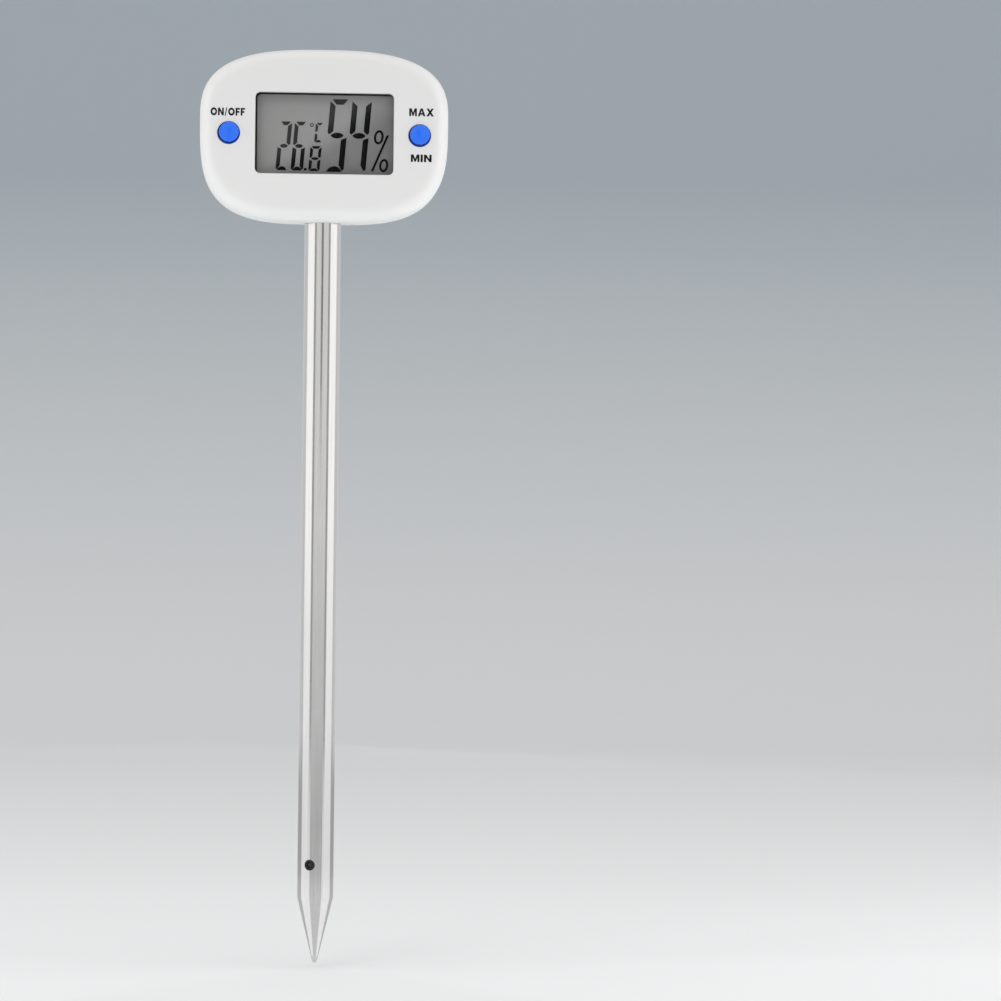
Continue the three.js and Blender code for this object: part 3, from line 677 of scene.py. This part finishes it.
def rear_case():
    """The rear shell with its lip, bosses, ribs and the battery well, grooved for the cover's lugs."""
    inner = BACK_Y - FACE_WALL
    case = dish("rear_shell", PARTING_GAP, BACK_Y, 0, 12, rim=0.2)
    cut(case, dish("tool", -1, inner, SIDE_WALL, 8))
    # the lip that reaches into the front shell, and its root on the rear wall: start, end and inset
    lip = (-1.2, 0.6, SIDE_WALL + 0.1)
    lip_root = (0.4, 2, SIDE_WALL - 0.3)
    lip_inner = SIDE_WALL + 0.9
    for y0, y1, outer in (lip, lip_root):
        band = loft("tool", [ring(y0, outer), ring(y1, outer)])
        join(case, cut(band, loft("tool", [ring(y0 - 0.5, lip_inner), ring(y1 + 0.5, lip_inner)])))
    for screw in SCREWS:
        join(case, rod(REAR_BOSS, PARTING_GAP, inner + ROOT, screw.x, screw.z))
    join(case, *ribs(PARTING_GAP, inner + ROOT))
    join(case, rod(WELL_RADIUS, WELL_FLOOR, inner + ROOT, 0, COVER.z, 96))
    # the lip makes room for the front shell's ribs and bosses
    rib_room = RIB_HALF_WIDTH + CLEARANCE
    rib_room_top = 194.4
    cut(case, block("tool", (-rib_room, -2, HEAD_BOTTOM), (rib_room, PARTING_GAP, rib_room_top)))
    for screw in SCREWS:
        cut(case, rod(FRONT_BOSS + CLEARANCE, -2, PARTING_GAP, screw.x, screw.z))
    cut(case, upright_rod(FERRULE_FLANGE_HOLE, LOW_RIB[1], HIGH_RIB[0]))
    cut(case, upright_rod(PROBE_SEAL_HOLE, HEAD_BOTTOM + SIDE_WALL, LOW_RIB[0]))
    counterbore_depth = BACK_Y - COUNTERBORE_Y
    cut(case, hole_tool(0, COVER.z, COVER_RADIUS + CLEARANCE, BACK_Y, counterbore_depth, fillet=0.3))
    cut(case, rod(SKIRT_RADIUS + 0.3, BORE_Y, BACK_Y, 0, COVER.z, 96))
    cut(case, rod(CELL_RADIUS + 0.3, POCKET_Y, BACK_Y, 0, COVER.z, 96))
    # room for the positive contact's leaf, then the holes for both contacts' tails
    cut(case, block("tool", (-2, POCKET_Y, COVER.z), (2, 4, COVER.z + 7.2)))
    cut(case, block("tool", (-0.9, -1, COVER.z + 5.9), (0.9, POCKET_Y + 0.1, COVER.z + 6.9)))
    cut(case, rod(0.6, -1, POCKET_Y + 0.1, 0.5, COVER.z - 3.4, 16))
    exit_turn = (COUNTERBORE_Y + LUG_CLEARANCE - SKIRT_BOTTOM) / THREAD_LEAD * FULL_TURN + LUG_ARC
    groove_y = (SKIRT_BOTTOM - LUG_CLEARANCE, SKIRT_BOTTOM + LUG_HEIGHT + LUG_CLEARANCE)
    for i in range(COVER_STARTS):
        groove = (SKIRT_RADIUS - 0.4, LUG_RADIUS + LUG_CLEARANCE, -0.03, exit_turn)
        cut(case, helix_bar(*groove, *groove_y, FULL_TURN * i / COVER_STARTS))
    cut(case, hole_tool(UNIT.x, UNIT.z, UNIT_RADIUS + CLEARANCE, BACK_Y, depth=3))
    for screw in SCREWS:
        cut(case, hole_tool(screw.x, screw.z, SCREW_HEAD_HOLE, BACK_Y, depth=BACK_Y - SCREW_SEAT_Y))
        cut(case, rod(SCREW_SHANK_HOLE, -1, SCREW_SEAT_Y + 0.5, screw.x, screw.z, 24))
    cut(case, tube_hole())
    place(case, "head", "white_plastic", ["rear_case"])


rear_case()


def battery_cover():
    """The coin-slotted cover: a flange, a skirt that clears the cell, and a lug at each thread start."""
    flange_y = COVER_HIGH.y - COVER_THICKNESS
    clear_y = box_mm("battery_cell")[1].y + 0.15
    edge = 0.3
    profile = [(0, clear_y), (SKIRT_INNER, clear_y), (SKIRT_INNER, SKIRT_BOTTOM)]
    profile += [(SKIRT_RADIUS, SKIRT_BOTTOM), (SKIRT_RADIUS, flange_y), (COVER_RADIUS, flange_y)]
    for turn in quarter(4):
        radius = COVER_RADIUS - edge * (1 - math.cos(turn))
        profile.append((radius, COVER_HIGH.y - edge * (1 - math.sin(turn))))
    profile.append((0, COVER_HIGH.y))
    cover = turned("battery_cap", profile, 96, (0, 0, COVER.z))
    for i in range(COVER_STARTS):
        lug = (SKIRT_RADIUS - 0.3, LUG_RADIUS, 0, LUG_ARC, SKIRT_BOTTOM, SKIRT_BOTTOM + LUG_HEIGHT)
        join(cover, helix_bar(*lug, FULL_TURN * i / COVER_STARTS))
    slot = Vector((6.2, 0.9, 0.9))
    slot_middle = Vector((0, COVER_HIGH.y + 0.1, COVER.z))
    cut(cover, block("tool", slot_middle - slot, slot_middle + slot))
    place(cover, "battery_cover", "white_plastic", ["battery_cover"])


battery_cover()

# ---------------------------------------------------------------- buttons


def front_button(name):
    """A gently domed cap with a rounded edge, over the flange that holds it in the case."""
    low, high = box_mm(name)
    spot = (low + high) / 2
    radius = BUTTON_RADIUS
    crown = 0.3
    edge = 0.45
    profile = [(0, low.y)]
    for i in range(1, 6):
        r = (radius - edge) * i / 5
        profile.append((r, low.y + crown * (r / radius) ** 2))
    start = profile[-1][1]
    for turn in quarter(6)[1:]:
        profile.append((radius - edge * (1 - math.sin(turn)), start + edge * (1 - math.cos(turn))))
    flange_y = FACE_Y + FACE_WALL + CLEARANCE
    flange = (high.x - low.x) / 2
    profile += [(radius, flange_y), (flange, flange_y), (flange, high.y), (0, high.y)]
    cap = turned(f"{name}_cap", profile, 64, (spot.x, 0, spot.z))
    place(cap, name, "blue_plastic", [name])


front_button("on_off_button")
front_button("max_min_button")


def unit_button():
    """The flat button on the back, with its flange and the stem that reaches its switch."""
    low, high = box_mm("unit_button")
    flange = (high.x - low.x) / 2
    back = BACK_Y - FACE_WALL
    stem = 1.5
    flange_start = back - 1.1
    flange_end = back - CLEARANCE
    profile = [(0, low.y), (stem, low.y), (stem, flange_start), (flange, flange_start)]
    profile += [(flange, flange_end), (UNIT_RADIUS, flange_end)]
    edge = 0.3
    for turn in quarter(5):
        profile.append((UNIT_RADIUS - edge * (1 - math.cos(turn)), high.y - edge * (1 - math.sin(turn))))
    profile.append((0, high.y))
    cap = turned("unit_button_cap", profile, 64, (UNIT.x, 0, UNIT.z))
    place(cap, "unit_button", "blue_plastic", ["unit_button"])


unit_button()

# ---------------------------------------------------------------- screws


def case_screw(index, spot):
    """A pan head with a cross recess over a threaded shank, each screw turned a little differently."""
    low, high = box_mm(f"case_screw_{index}")
    seat = SCREW_SEAT_Y + 0.1
    head_radius = 2.0
    shank = 0.95
    core = shank * 0.8
    pitch = 0.8
    profile = [(0, low.y), (0.25, low.y)]
    y = low.y + 1.2
    while y < seat - 2.2:
        profile += [(core, y), (shank, y + 0.3), (core, y + 0.6)]
        y += pitch
    profile += [(shank, seat - 0.8), (shank, seat), (head_radius, seat)]
    rim = 0.3
    last = 0.85 * QUARTER_TURN
    for i in range(6):
        turn = i / 5 * last
        rise = (high.y - seat - rim) * math.sin(turn) / math.sin(last)
        profile.append((head_radius * math.cos(turn), seat + rim + rise))
    profile.append((0, high.y))
    screw = turned(f"case_screw_head_{index}", profile, 40, (spot.x, 0, spot.z))
    # half the length and half the width of the cross recess, and its floor
    arm_length = 1.15
    arm_width = 0.22
    arm_floor = high.y - 0.75
    onto = Matrix.Translation((spot.x, 0, spot.z))
    for turn in (0, QUARTER_TURN):
        arm = block("tool", (-arm_length, arm_floor, -arm_width), (arm_length, high.y + 1, arm_width))
        arm.data.transform(onto @ Matrix.Rotation(turn + 0.3 * index, 4, "Y"))
        cut(screw, arm)
    place(screw, "head", "nickel_steel", [f"case_screw_{index}"], 28)


for number, screw_spot in enumerate(SCREWS, 1):
    case_screw(number, screw_spot)

# ---------------------------------------------------------------- the display window and the display


def display_window():
    """The clear sheet behind the case's window, with its edges just broken."""
    low, high = box_mm("display_window")
    centre = (low + high) / 2
    size = high - low
    edge = 0.08

    def at(y, inset):
        return rounded_rectangle(y, size.x - 2 * inset, size.z - 2 * inset, 1 - inset, centre.z, 6)

    rings = [at(low.y, edge), at(low.y + edge, 0), at(high.y - edge, 0), at(high.y, edge)]
    place(loft("window_lens", rings), "head", "clear_plastic", ["display_window"])


display_window()


def window_border():
    """A black band round the back of the window, broad on the left, so a dark line shows along its left and
    top edges.
    """
    back = box_mm("display_window")[1].y + 0.01
    left, right, low, high = WINDOW_BORDER
    shift = (left - right) / 2
    width = WINDOW_WIDTH - left - right
    height = WINDOW_HEIGHT - low - high
    centre_z = WINDOW_Z + (low - high) / 2
    overlap = 0.4

    def inner(y):
        return [(x + shift, y, z) for x, y, z in rounded_rectangle(y, width, height, 1.1, centre_z)]

    def outer(y):
        full_width = WINDOW_WIDTH + 2 * overlap
        return rounded_rectangle(y, full_width, WINDOW_HEIGHT + 2 * overlap, 1.2, WINDOW_Z)

    border = loft("window_border", [outer(back), outer(back + INK_THICKNESS)])
    cut(border, loft("tool", [inner(back - 1), inner(back + 1)]))
    place(border, "head", "black_plastic")


window_border()

INK_Y = box_mm("lcd_polarizer")[0].y - 0.03
DIGIT_LEAN = math.tan(math.radians(4.8))


def ink_shape(bm, points):
    """Adds one closed body of display ink with this outline."""
    front = [bm.verts.new((x, INK_Y - INK_THICKNESS / 2, z)) for x, z in points]
    back = [bm.verts.new((x, INK_Y + INK_THICKNESS / 2, z)) for x, z in points]
    count = len(points)
    bm.faces.new(front)
    bm.faces.new(reversed(back))
    for i in range(count):
        j = (i + 1) % count
        bm.faces.new((front[j], front[i], back[i], back[j]))


def lens_shape(x0, x1, middle_z, half):
    """A segment pointed at both ends and bulged between."""
    steps = 7
    points = []
    for side in (1, -1):
        for i in range(steps):
            share = i / steps
            x = x0 + (x1 - x0) * share if side > 0 else x1 - (x1 - x0) * share
            points.append((x, middle_z + side * half * math.sin(share * HALF_TURN) ** 0.6))
    return points


def dome_shape(x0, x1, height):
    """A segment that is flat below and bulged above."""
    steps = 8
    points = [(x0, 0)]
    for i in range(1, steps):
        share = i / steps
        points.append((x0 + (x1 - x0) * share, height * math.sin(share * HALF_TURN) ** 0.62))
    return points + [(x1, 0)]


def segment_shapes(width, height, bar, thick):
    """The seven segments of one digit. bar is an upright segment's width, thick a level one's height."""
    mid = height / 2
    gap = 0.1 * bar
    tip = 0.35 * bar
    upper = mid + 0.5 * bar
    inner = thick + 0.25 * bar
    waist = 0.78 * bar
    left_top = [(0, height - tip), (bar, height - inner), (bar, mid + waist)]
    left_top += [(tip, mid + 0.2 * bar), (0, upper)]
    left_low = [(0, mid - tip), (bar, mid - waist), (bar, inner), (tip, 0.18 * bar), (0, 0.5 * bar)]
    low_side = height - thick
    return {
        "top": [(tip, height), (width - tip, height), (width - bar - gap, low_side), (bar + gap, low_side)],
        "upper_left": left_top,
        "upper_right": [(width - x, z) for x, z in reversed(left_top)],
        "middle": lens_shape(0.55 * bar, width - 0.55 * bar, mid, 0.54 * thick),
        "lower_left": left_low,
        "lower_right": [(width - x, z) for x, z in reversed(left_low)],
        "bottom": dome_shape(tip, width - tip, thick * 1.05),
    }


DIGIT_SEGMENTS = {
    "2": ("top", "upper_right", "middle", "lower_left", "bottom"),
    "4": ("upper_left", "upper_right", "middle", "lower_right"),
    "5": ("top", "upper_left", "middle", "lower_right", "bottom"),
    "6": ("top", "upper_left", "middle", "lower_left", "lower_right", "bottom"),
    "8": ("top", "upper_left", "upper_right", "middle", "lower_left", "lower_right", "bottom"),
    "C": ("top", "upper_left", "lower_left", "bottom"),
}


# each digit's width and height, the width of an upright segment and the height of a level one
LARGE = (4.85, 18.05, 1.38, 1.35)
MEDIUM = (3.1, 12.1, 0.98, 0.92)
SMALL = (2.8, 6.2, 0.72, 0.66)
UNIT_SIGN = (1.95, 4.85, 0.64, 0.6)


def leaned(points, x, z):
    """Points moved to (x, z) and slanted, as the display's digits are."""
    return [(x + px + pz * DIGIT_LEAN, z + pz) for px, pz in points]


def digit(bm, sign, x, z, size):
    """Adds the segments that are on for this sign, with the digit's lower left corner at (x, z)."""
    shapes = segment_shapes(*size)
    for segment in DIGIT_SEGMENTS[sign]:
        ink_shape(bm, leaned(shapes[segment], x, z))


def oval(bm, x, z, half_width, half_height, line, sides=36):
    """A thin upright ring, as one closed body."""
    loops = []
    for inset, y in ((0, -1), (line, -1), (line, 1), (0, 1)):
        loop = []
        for i in range(sides):
            turn = FULL_TURN * i / sides
            px = (half_width - inset) * math.cos(turn)
            pz = (half_height - inset) * math.sin(turn)
            loop.append(bm.verts.new((x + px + pz * DIGIT_LEAN, INK_Y + y * INK_THICKNESS / 2, z + pz)))
        loops.append(loop)
    for a, b in zip(loops, loops[1:] + loops[:1]):
        for i in range(sides):
            j = (i + 1) % sides
            bm.faces.new((a[i], a[j], b[j], b[i]))


def ink_piece(name, bm, ink):
    bmesh.ops.recalc_face_normals(bm, faces=bm.faces)
    made = mesh_object(name, bm)
    made.data.transform(Matrix.Scale(MM, 4))
    made.data.materials.append(ink)
    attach(made, "head")


DISPLAY_BASE = WINDOW_Z - 9.26


def moisture_reading():
    bm = bmesh.new()
    digit(bm, "5", 0.0, DISPLAY_BASE, LARGE)
    digit(bm, "4", 5.45, DISPLAY_BASE, LARGE)
    ink_piece("moisture_digits", bm, DISPLAY_INK)


def percent_sign():
    bm = bmesh.new()
    oval(bm, 13.55, WINDOW_Z - 0.5, 1.22, 1.78, 0.58)
    oval(bm, 14.85, WINDOW_Z - 7.5, 1.15, 1.65, 0.58)
    foot, top, half = 11.95, 15.8, 0.31
    stroke = [(x, WINDOW_Z - 9) for x in (foot - half, foot + half)]
    stroke += [(x, WINDOW_Z) for x in (top + half, top - half)]
    ink_shape(bm, stroke)
    ink_piece("percent_mark", bm, DISPLAY_INK)


def temperature_reading():
    bm = bmesh.new()
    base = DISPLAY_BASE + 0.22
    digit(bm, "2", -12.05, base, MEDIUM)
    digit(bm, "6", -8.3, base, MEDIUM)
    ink_shape(bm, leaned([(-5.0, 0), (-4.3, 0), (-4.3, 0.62), (-5.0, 0.62)], 0, base))
    digit(bm, "8", -3.9, base - 0.1, SMALL)
    ink_piece("temperature_digits", bm, DISPLAY_INK)


def degree_sign():
    bm = bmesh.new()
    oval(bm, -3.1, WINDOW_Z + 2.3, 0.45, 0.48, 0.22, 20)
    digit(bm, "C", -2.5, WINDOW_Z - 2.0, UNIT_SIGN)
    ink_piece("celsius_mark", bm, DISPLAY_INK)


moisture_reading()
percent_sign()
temperature_reading()
degree_sign()

# ---------------------------------------------------------------- printed labels

STROKE = 0.265  # a letter's line, for a letter one unit high
LETTER_SPACING = 0.13


def arc(cx, cz, half_width, half_height, start, end, steps=20):
    turns = [math.radians(start + (end - start) * i / steps) for i in range(steps + 1)]
    return [(cx + half_width * math.cos(t), cz + half_height * math.sin(t)) for t in turns]


def glyph(sign):
    """A letter's width and closed outlines, one unit high."""
    s = STROKE
    if sign == "O":
        return 1.02, [arc(0.51, 0.5, 0.51 - inset, 0.52 - inset, 0, 342, 19) for inset in (0, s)]
    if sign == "C":
        outer = arc(0.5, 0.5, 0.5, 0.52, 48, 312)
        inner = arc(0.5, 0.5, 0.5 - s, 0.52 - s, 312, 48)
        return 0.86, [outer + inner]
    if sign == "°":
        return 0.42, [arc(0.21, 0.82, radius, radius, 0, 340, 17) for radius in (0.21, 0.1)]
    if sign == "N":
        slope = [(s, 1), (0.9 - s, 0.42), (0.9 - s, 1), (0.9, 1), (0.9, 0), (0.9 - s, 0), (s, 0.58), (s, 0)]
        return 0.9, [[(0, 0), (0, 1)] + slope]
    if sign == "/":
        return 0.4, [[(0, -0.04), (0.15, -0.04), (0.4, 1.04), (0.25, 1.04)]]
    if sign == "F":
        arm = 0.9 * s
        upper = [(0.66, 1), (0.66, 1 - arm), (s, 1 - arm)]
        lower = [(s, 0.6), (0.58, 0.6), (0.58, 0.6 - arm), (s, 0.6 - arm)]
        return 0.66, [[(0, 0), (0, 1)] + upper + lower + [(s, 0)]]
    if sign == "M":
        right = [(0.7, 1), (1, 1), (1, 0), (0.76, 0), (0.76, 0.6)]
        left = [(0.24, 0.6), (0.24, 0), (0, 0), (0, 1), (0.3, 1)]
        return 1.0, [left + [(0.5, 0.44)] + right + [(0.58, 0.03), (0.42, 0.03)]]
    if sign == "A":
        foot = [(1, 0), (0.72, 0), (0.66, 0.2), (0.34, 0.2), (0.28, 0)]
        return 1.0, [[(0, 0), (0.36, 1), (0.64, 1)] + foot, [(0.4, 0.41), (0.5, 0.73), (0.6, 0.41)]]
    if sign == "X":
        upper = [(0.33, 0.51), (0.01, 1), (0.31, 1), (0.49, 0.71), (0.67, 1), (0.97, 1), (0.65, 0.51)]
        return 0.98, [[(0, 0)] + upper + [(0.98, 0), (0.67, 0), (0.49, 0.31), (0.31, 0)]]
    if sign == "I":
        return s, [[(0, 0), (0, 1), (s, 1), (s, 0)]]
    raise ValueError(sign)


def label(name, words, x, z, face_y, width, cap_height):
    """Printed capitals, centred on (x, z).

    A positive face_y puts them on the back, to be read from there.
    """
    letters, cursor = [], 0.0
    for sign in words:
        wide, outlines = glyph(sign)
        letters.append((cursor, outlines))
        cursor += wide + LETTER_SPACING
    stretch = width / (cursor - LETTER_SPACING)
    turn = math.copysign(1, -face_y)
    bm = bmesh.new()
    for start, outlines in letters:
        edges = []
        for outline_points in outlines:
            loop = []
            for u, v in outline_points:
                across = turn * ((start + u) * stretch - width / 2)
                loop.append(bm.verts.new((x + across, face_y, z + (v - 0.5) * cap_height)))
            edges += [bm.edges.new((a, b)) for a, b in zip(loop, loop[1:] + loop[:1])]
        bmesh.ops.triangle_fill(bm, edges=edges, use_beauty=True)
    raised = bmesh.ops.extrude_face_region(bm, geom=bm.faces[:])
    moved = [g for g in raised["geom"] if isinstance(g, bmesh.types.BMVert)]
    bmesh.ops.translate(bm, verts=moved, vec=(0, math.copysign(INK_THICKNESS, face_y), 0))
    ink_piece(name, bm, PRINTED_INK)


ON_OFF = middle("on_off_button")
MAX_MIN = middle("max_min_button")
label("label_on_off", "ON/OFF", ON_OFF.x - 0.33, ON_OFF.z + 4.98, FACE_Y, width=8.5, cap_height=1.9)
label("label_max", "MAX", MAX_MIN.x + 0.33, MAX_MIN.z + 5.57, FACE_Y, width=6.1, cap_height=1.95)
label("label_min", "MIN", MAX_MIN.x + 0.38, MAX_MIN.z - 5.82, FACE_Y, width=5.15, cap_height=1.85)
label("label_unit", "°C/°F", UNIT.x, UNIT.z - 4.6, BACK_Y, width=5.6, cap_height=1.5)

# ---------------------------------------------------------------- the probe


def probe_tube():
    """The steel tube, from its rounded nose up the long point and the slightly softened shoulder."""
    top = box_mm("probe_tube")[1].z
    bore = TUBE_RADIUS - TUBE_WALL
    nose_radius = 0.7
    nose_z = 0.9
    profile = [(0, 0)]
    for turn in quarter(6)[1:]:
        profile.append((nose_radius * math.sin(turn), nose_z * (1 - math.cos(turn))))
    slope = (TUBE_RADIUS - nose_radius) / (TAPER_Z - nose_z)
    half_shoulder = 1.2
    softening = 0.042
    steps = 24
    for i in range(1, steps):
        z = nose_z + (TAPER_Z - half_shoulder - nose_z) * i / steps
        profile.append((nose_radius + slope * (z - nose_z), z))
    for i in range(5):
        share = i / 4
        z = TAPER_Z - half_shoulder + 2 * half_shoulder * share
        straight = min(nose_radius + slope * (z - nose_z), TUBE_RADIUS)
        profile.append((straight - softening * math.sin(share * HALF_TURN), z))
    step = 4
    z = TAPER_Z + step
    while z < top - step:
        profile.append((TUBE_RADIUS, z))
        z += step
    profile += [(TUBE_RADIUS, top), (bore, top), (bore, TAPER_Z + TUBE_WALL), (0, HOLLOW_END)]
    tube = turned("probe_sleeve", profile, 128, axis="Z")
    hole = rod(SENSOR_HOLE, -TUBE_RADIUS - 1, 0, 0, 0)
    hole.data.transform(SENSOR_PLACE)
    cut(tube, hole)
    pin_hole = rod(CROSS_PIN_HOLE, -7, 7, 0, 0, 32)
    pin_hole.data.transform(
        Matrix.Translation(middle("probe_cross_pin")) @ Matrix.Rotation(QUARTER_TURN, 4, "Z")
    )
    cut(tube, pin_hole)
    place(tube, "head", "probe_steel", ["probe_tube"], 25)


def sensor_pieces():
    """The sensor dot: a black plug with a graphite pin in its middle."""
    plug = turned(
        "sensor_plug",
        [
            (0.75, -TUBE_RADIUS + 0.3),
            (0.8, -TUBE_RADIUS + 0.16),
            (0.95, -TUBE_RADIUS + 0.08),
            (1.12, -TUBE_RADIUS + 0.08),
            (1.24, -TUBE_RADIUS + 0.14),
            (1.3, -TUBE_RADIUS + 0.28),
            (1.3, -3.3),
            (1.9, -3.3),
            (1.9, -2.6),
            (0.75, -2.6),
        ],
        48,
    )
    plug.data.transform(SENSOR_PLACE)
    place(plug, "head", "black_plastic", ["sensor_insulator"])
    dome = [(0, -4.2), (0.4, -4.19), (0.58, -4.15), (0.68, -4.06)]
    pin = turned("sensor_pin", dome + [(0.7, -3.9), (0.7, -1.6), (0, -1.6)], 48)
    pin.data.transform(SENSOR_PLACE)
    place(pin, "head", "graphite", ["sensor_electrode"])


probe_tube()
sensor_pieces()

# ---------------------------------------------------------------- CAD nodes that stay

for entry in frame["record"]["subparts"]:
    node = NODES[entry["node"]]
    node.data.materials.clear()
    node.data.materials.append(MATERIALS[entry["material_slot"]])

# ---------------------------------------------------------------- the stage and the light


def plain_stage():
    """A pale floor that curves up into a backdrop."""
    n = Nodes("studio_paper")
    where = n.coords()
    split = n.add("ShaderNodeSeparateXYZ")
    n.link(where, split.inputs["Vector"])
    fade_height_mm = 330
    fade = n.ramp(split.outputs["Z"], 0, 1, 0, fade_height_mm)
    n.colour(n.mix(fade, (0.80, 0.81, 0.815), (0.40, 0.455, 0.50)))
    n.set(Roughness=0.9)
    bm = bmesh.new()
    back, radius, half, high = 2.2, 1.2, 4.5, 3.5
    floor_z = -0.0012
    path = [(-half, floor_z), (back - radius, floor_z)]
    for turn in quarter(12)[1:]:
        path.append((back - radius + radius * math.sin(turn), floor_z + radius * (1 - math.cos(turn))))
    path.append((back, high))
    left = [bm.verts.new((-half, y, z)) for y, z in path]
    right = [bm.verts.new((half, y, z)) for y, z in path]
    for i in range(len(path) - 1):
        bm.faces.new((left[i], right[i], right[i + 1], left[i + 1]))
    bmesh.ops.recalc_face_normals(bm, faces=bm.faces)
    paper = mesh_object("paper_sweep", bm)
    paper.data.materials.append(n.material)
    paper.data.shade_smooth()


def soft_light(name, place_at, aim, width, height, power, glossy=True):
    """An area light that the camera can't see; with glossy off it lights without a reflection."""
    data = bpy.data.lights.new(name, "AREA")
    data.shape = "RECTANGLE"
    data.size = width
    data.size_y = height
    data.energy = power
    light = bpy.data.objects.new(name, data)
    light.location = place_at
    light.rotation_euler = (Vector(aim) - Vector(place_at)).to_track_quat("-Z", "Y").to_euler()
    light.visible_camera = False
    light.visible_glossy = glossy
    bpy.context.scene.collection.objects.link(light)


def reflected_only(name, bm, level, place_at=Matrix()):
    """A glowing card that shows in reflections and nowhere else."""
    n = Nodes(name)
    n.tree.nodes.remove(n.shader)
    glow = n.add("ShaderNodeEmission", Strength=level)
    n.link(glow.outputs[0], n.tree.nodes["Material Output"].inputs["Surface"])
    made = mesh_object(name, bm)
    made.data.transform(place_at)
    made.data.materials.append(n.material)
    made.visible_camera = False
    made.visible_diffuse = False
    made.visible_shadow = False
    made.visible_transmission = False


def card(name, azimuth, width, low, high, distance, level):
    """An upright card beside the object. azimuth is measured from the front, in degrees."""
    bm = bmesh.new()
    half = width / 2
    corners = ((-half, low), (half, low), (half, high), (-half, high))
    bm.faces.new([bm.verts.new((u, 0, v)) for u, v in corners])
    away = Matrix.Rotation(math.radians(azimuth), 4, "Z") @ Matrix.Translation((0, -distance, 0))
    reflected_only(name, bm, level, away)


def floor_card(name, start, end, inner, outer, level):
    """A card flat on the floor, between two azimuths in degrees."""
    bm = bmesh.new()
    steps = 12
    loops = []
    for i in range(steps + 1):
        azimuth = math.radians(start + (end - start) * i / steps)
        across, forward = math.sin(azimuth), -math.cos(azimuth)
        loops.append([bm.verts.new((r * across, r * forward, 0)) for r in (inner, outer)])
    for (a, b), (c, d) in zip(loops, loops[1:]):
        bm.faces.new((a, b, d, c))
    reflected_only(name, bm, level)


world = bpy.data.worlds.new("studio")
world.use_nodes = True
background = world.node_tree.nodes["Background"]
background.inputs["Color"].default_value = (1, 0.985, 0.972, 1)
background.inputs["Strength"].default_value = 0.84
bpy.context.scene.world = world
bpy.context.scene.view_settings.view_transform = "Standard"

HEAD_AIM = (0, 0, 0.2)
PROBE_AIM = (0, 0, 0.15)
SOFTBOX_AZIMUTH = math.radians(78)
SOFTBOX_DISTANCE = 0.9
CARD_SPAN = (-0.3, 0.8)  # the upright cards' lower and upper edge
CARD_DISTANCE = 0.8

plain_stage()
for sign, side in ((-1, "left"), (1, "right")):
    across = sign * math.sin(SOFTBOX_AZIMUTH) * SOFTBOX_DISTANCE
    spot = (across, -math.cos(SOFTBOX_AZIMUTH) * SOFTBOX_DISTANCE, PROBE_AIM[2])
    soft_light(f"softbox_{side}", spot, PROBE_AIM, 0.92, 1.0, power=1.25)
    beside = (sign * 0.5, -0.02, 0.21)
    fill = 0.55 + 0.17 * sign
    soft_light(f"side_fill_{side}", beside, HEAD_AIM, 0.3, 0.3, power=fill, glossy=False)
    card(f"flag_{side}", sign * 45.3, 0.19, *CARD_SPAN, CARD_DISTANCE, level=0.42)
    card(f"edge_card_{side}", sign * 142, 1.2, *CARD_SPAN, CARD_DISTANCE, level=0.7)
soft_light("key_soft", (-0.55, -1.0, 0.95), HEAD_AIM, 0.5, 0.5, power=2.0, glossy=False)
soft_light("top_fill", (0, -0.03, 0.75), HEAD_AIM, 0.3, 0.3, power=0.35, glossy=False)
soft_light("underside_fill", (0, -0.02, 0.04), HEAD_AIM, 0.4, 0.3, power=0.22, glossy=False)
card("lens_shade", 0, 0.2, 0.16, 0.5, 0.9, level=0.25)
for name, start, end, near_level, far_level in (
    ("floor_front", -39, 39, 0.72, 0.52),
    ("floor_left", -104, -39, 1.1, 0.95),
    ("floor_right", 39, 104, 1.1, 0.95),
    ("floor_back", 104, 256, 0.6, 0.45),
):
    floor_card(f"{name}_near", start, end, inner=0.004, outer=0.25, level=near_level)
    floor_card(f"{name}_far", start, end, inner=0.25, outer=0.9, level=far_level)
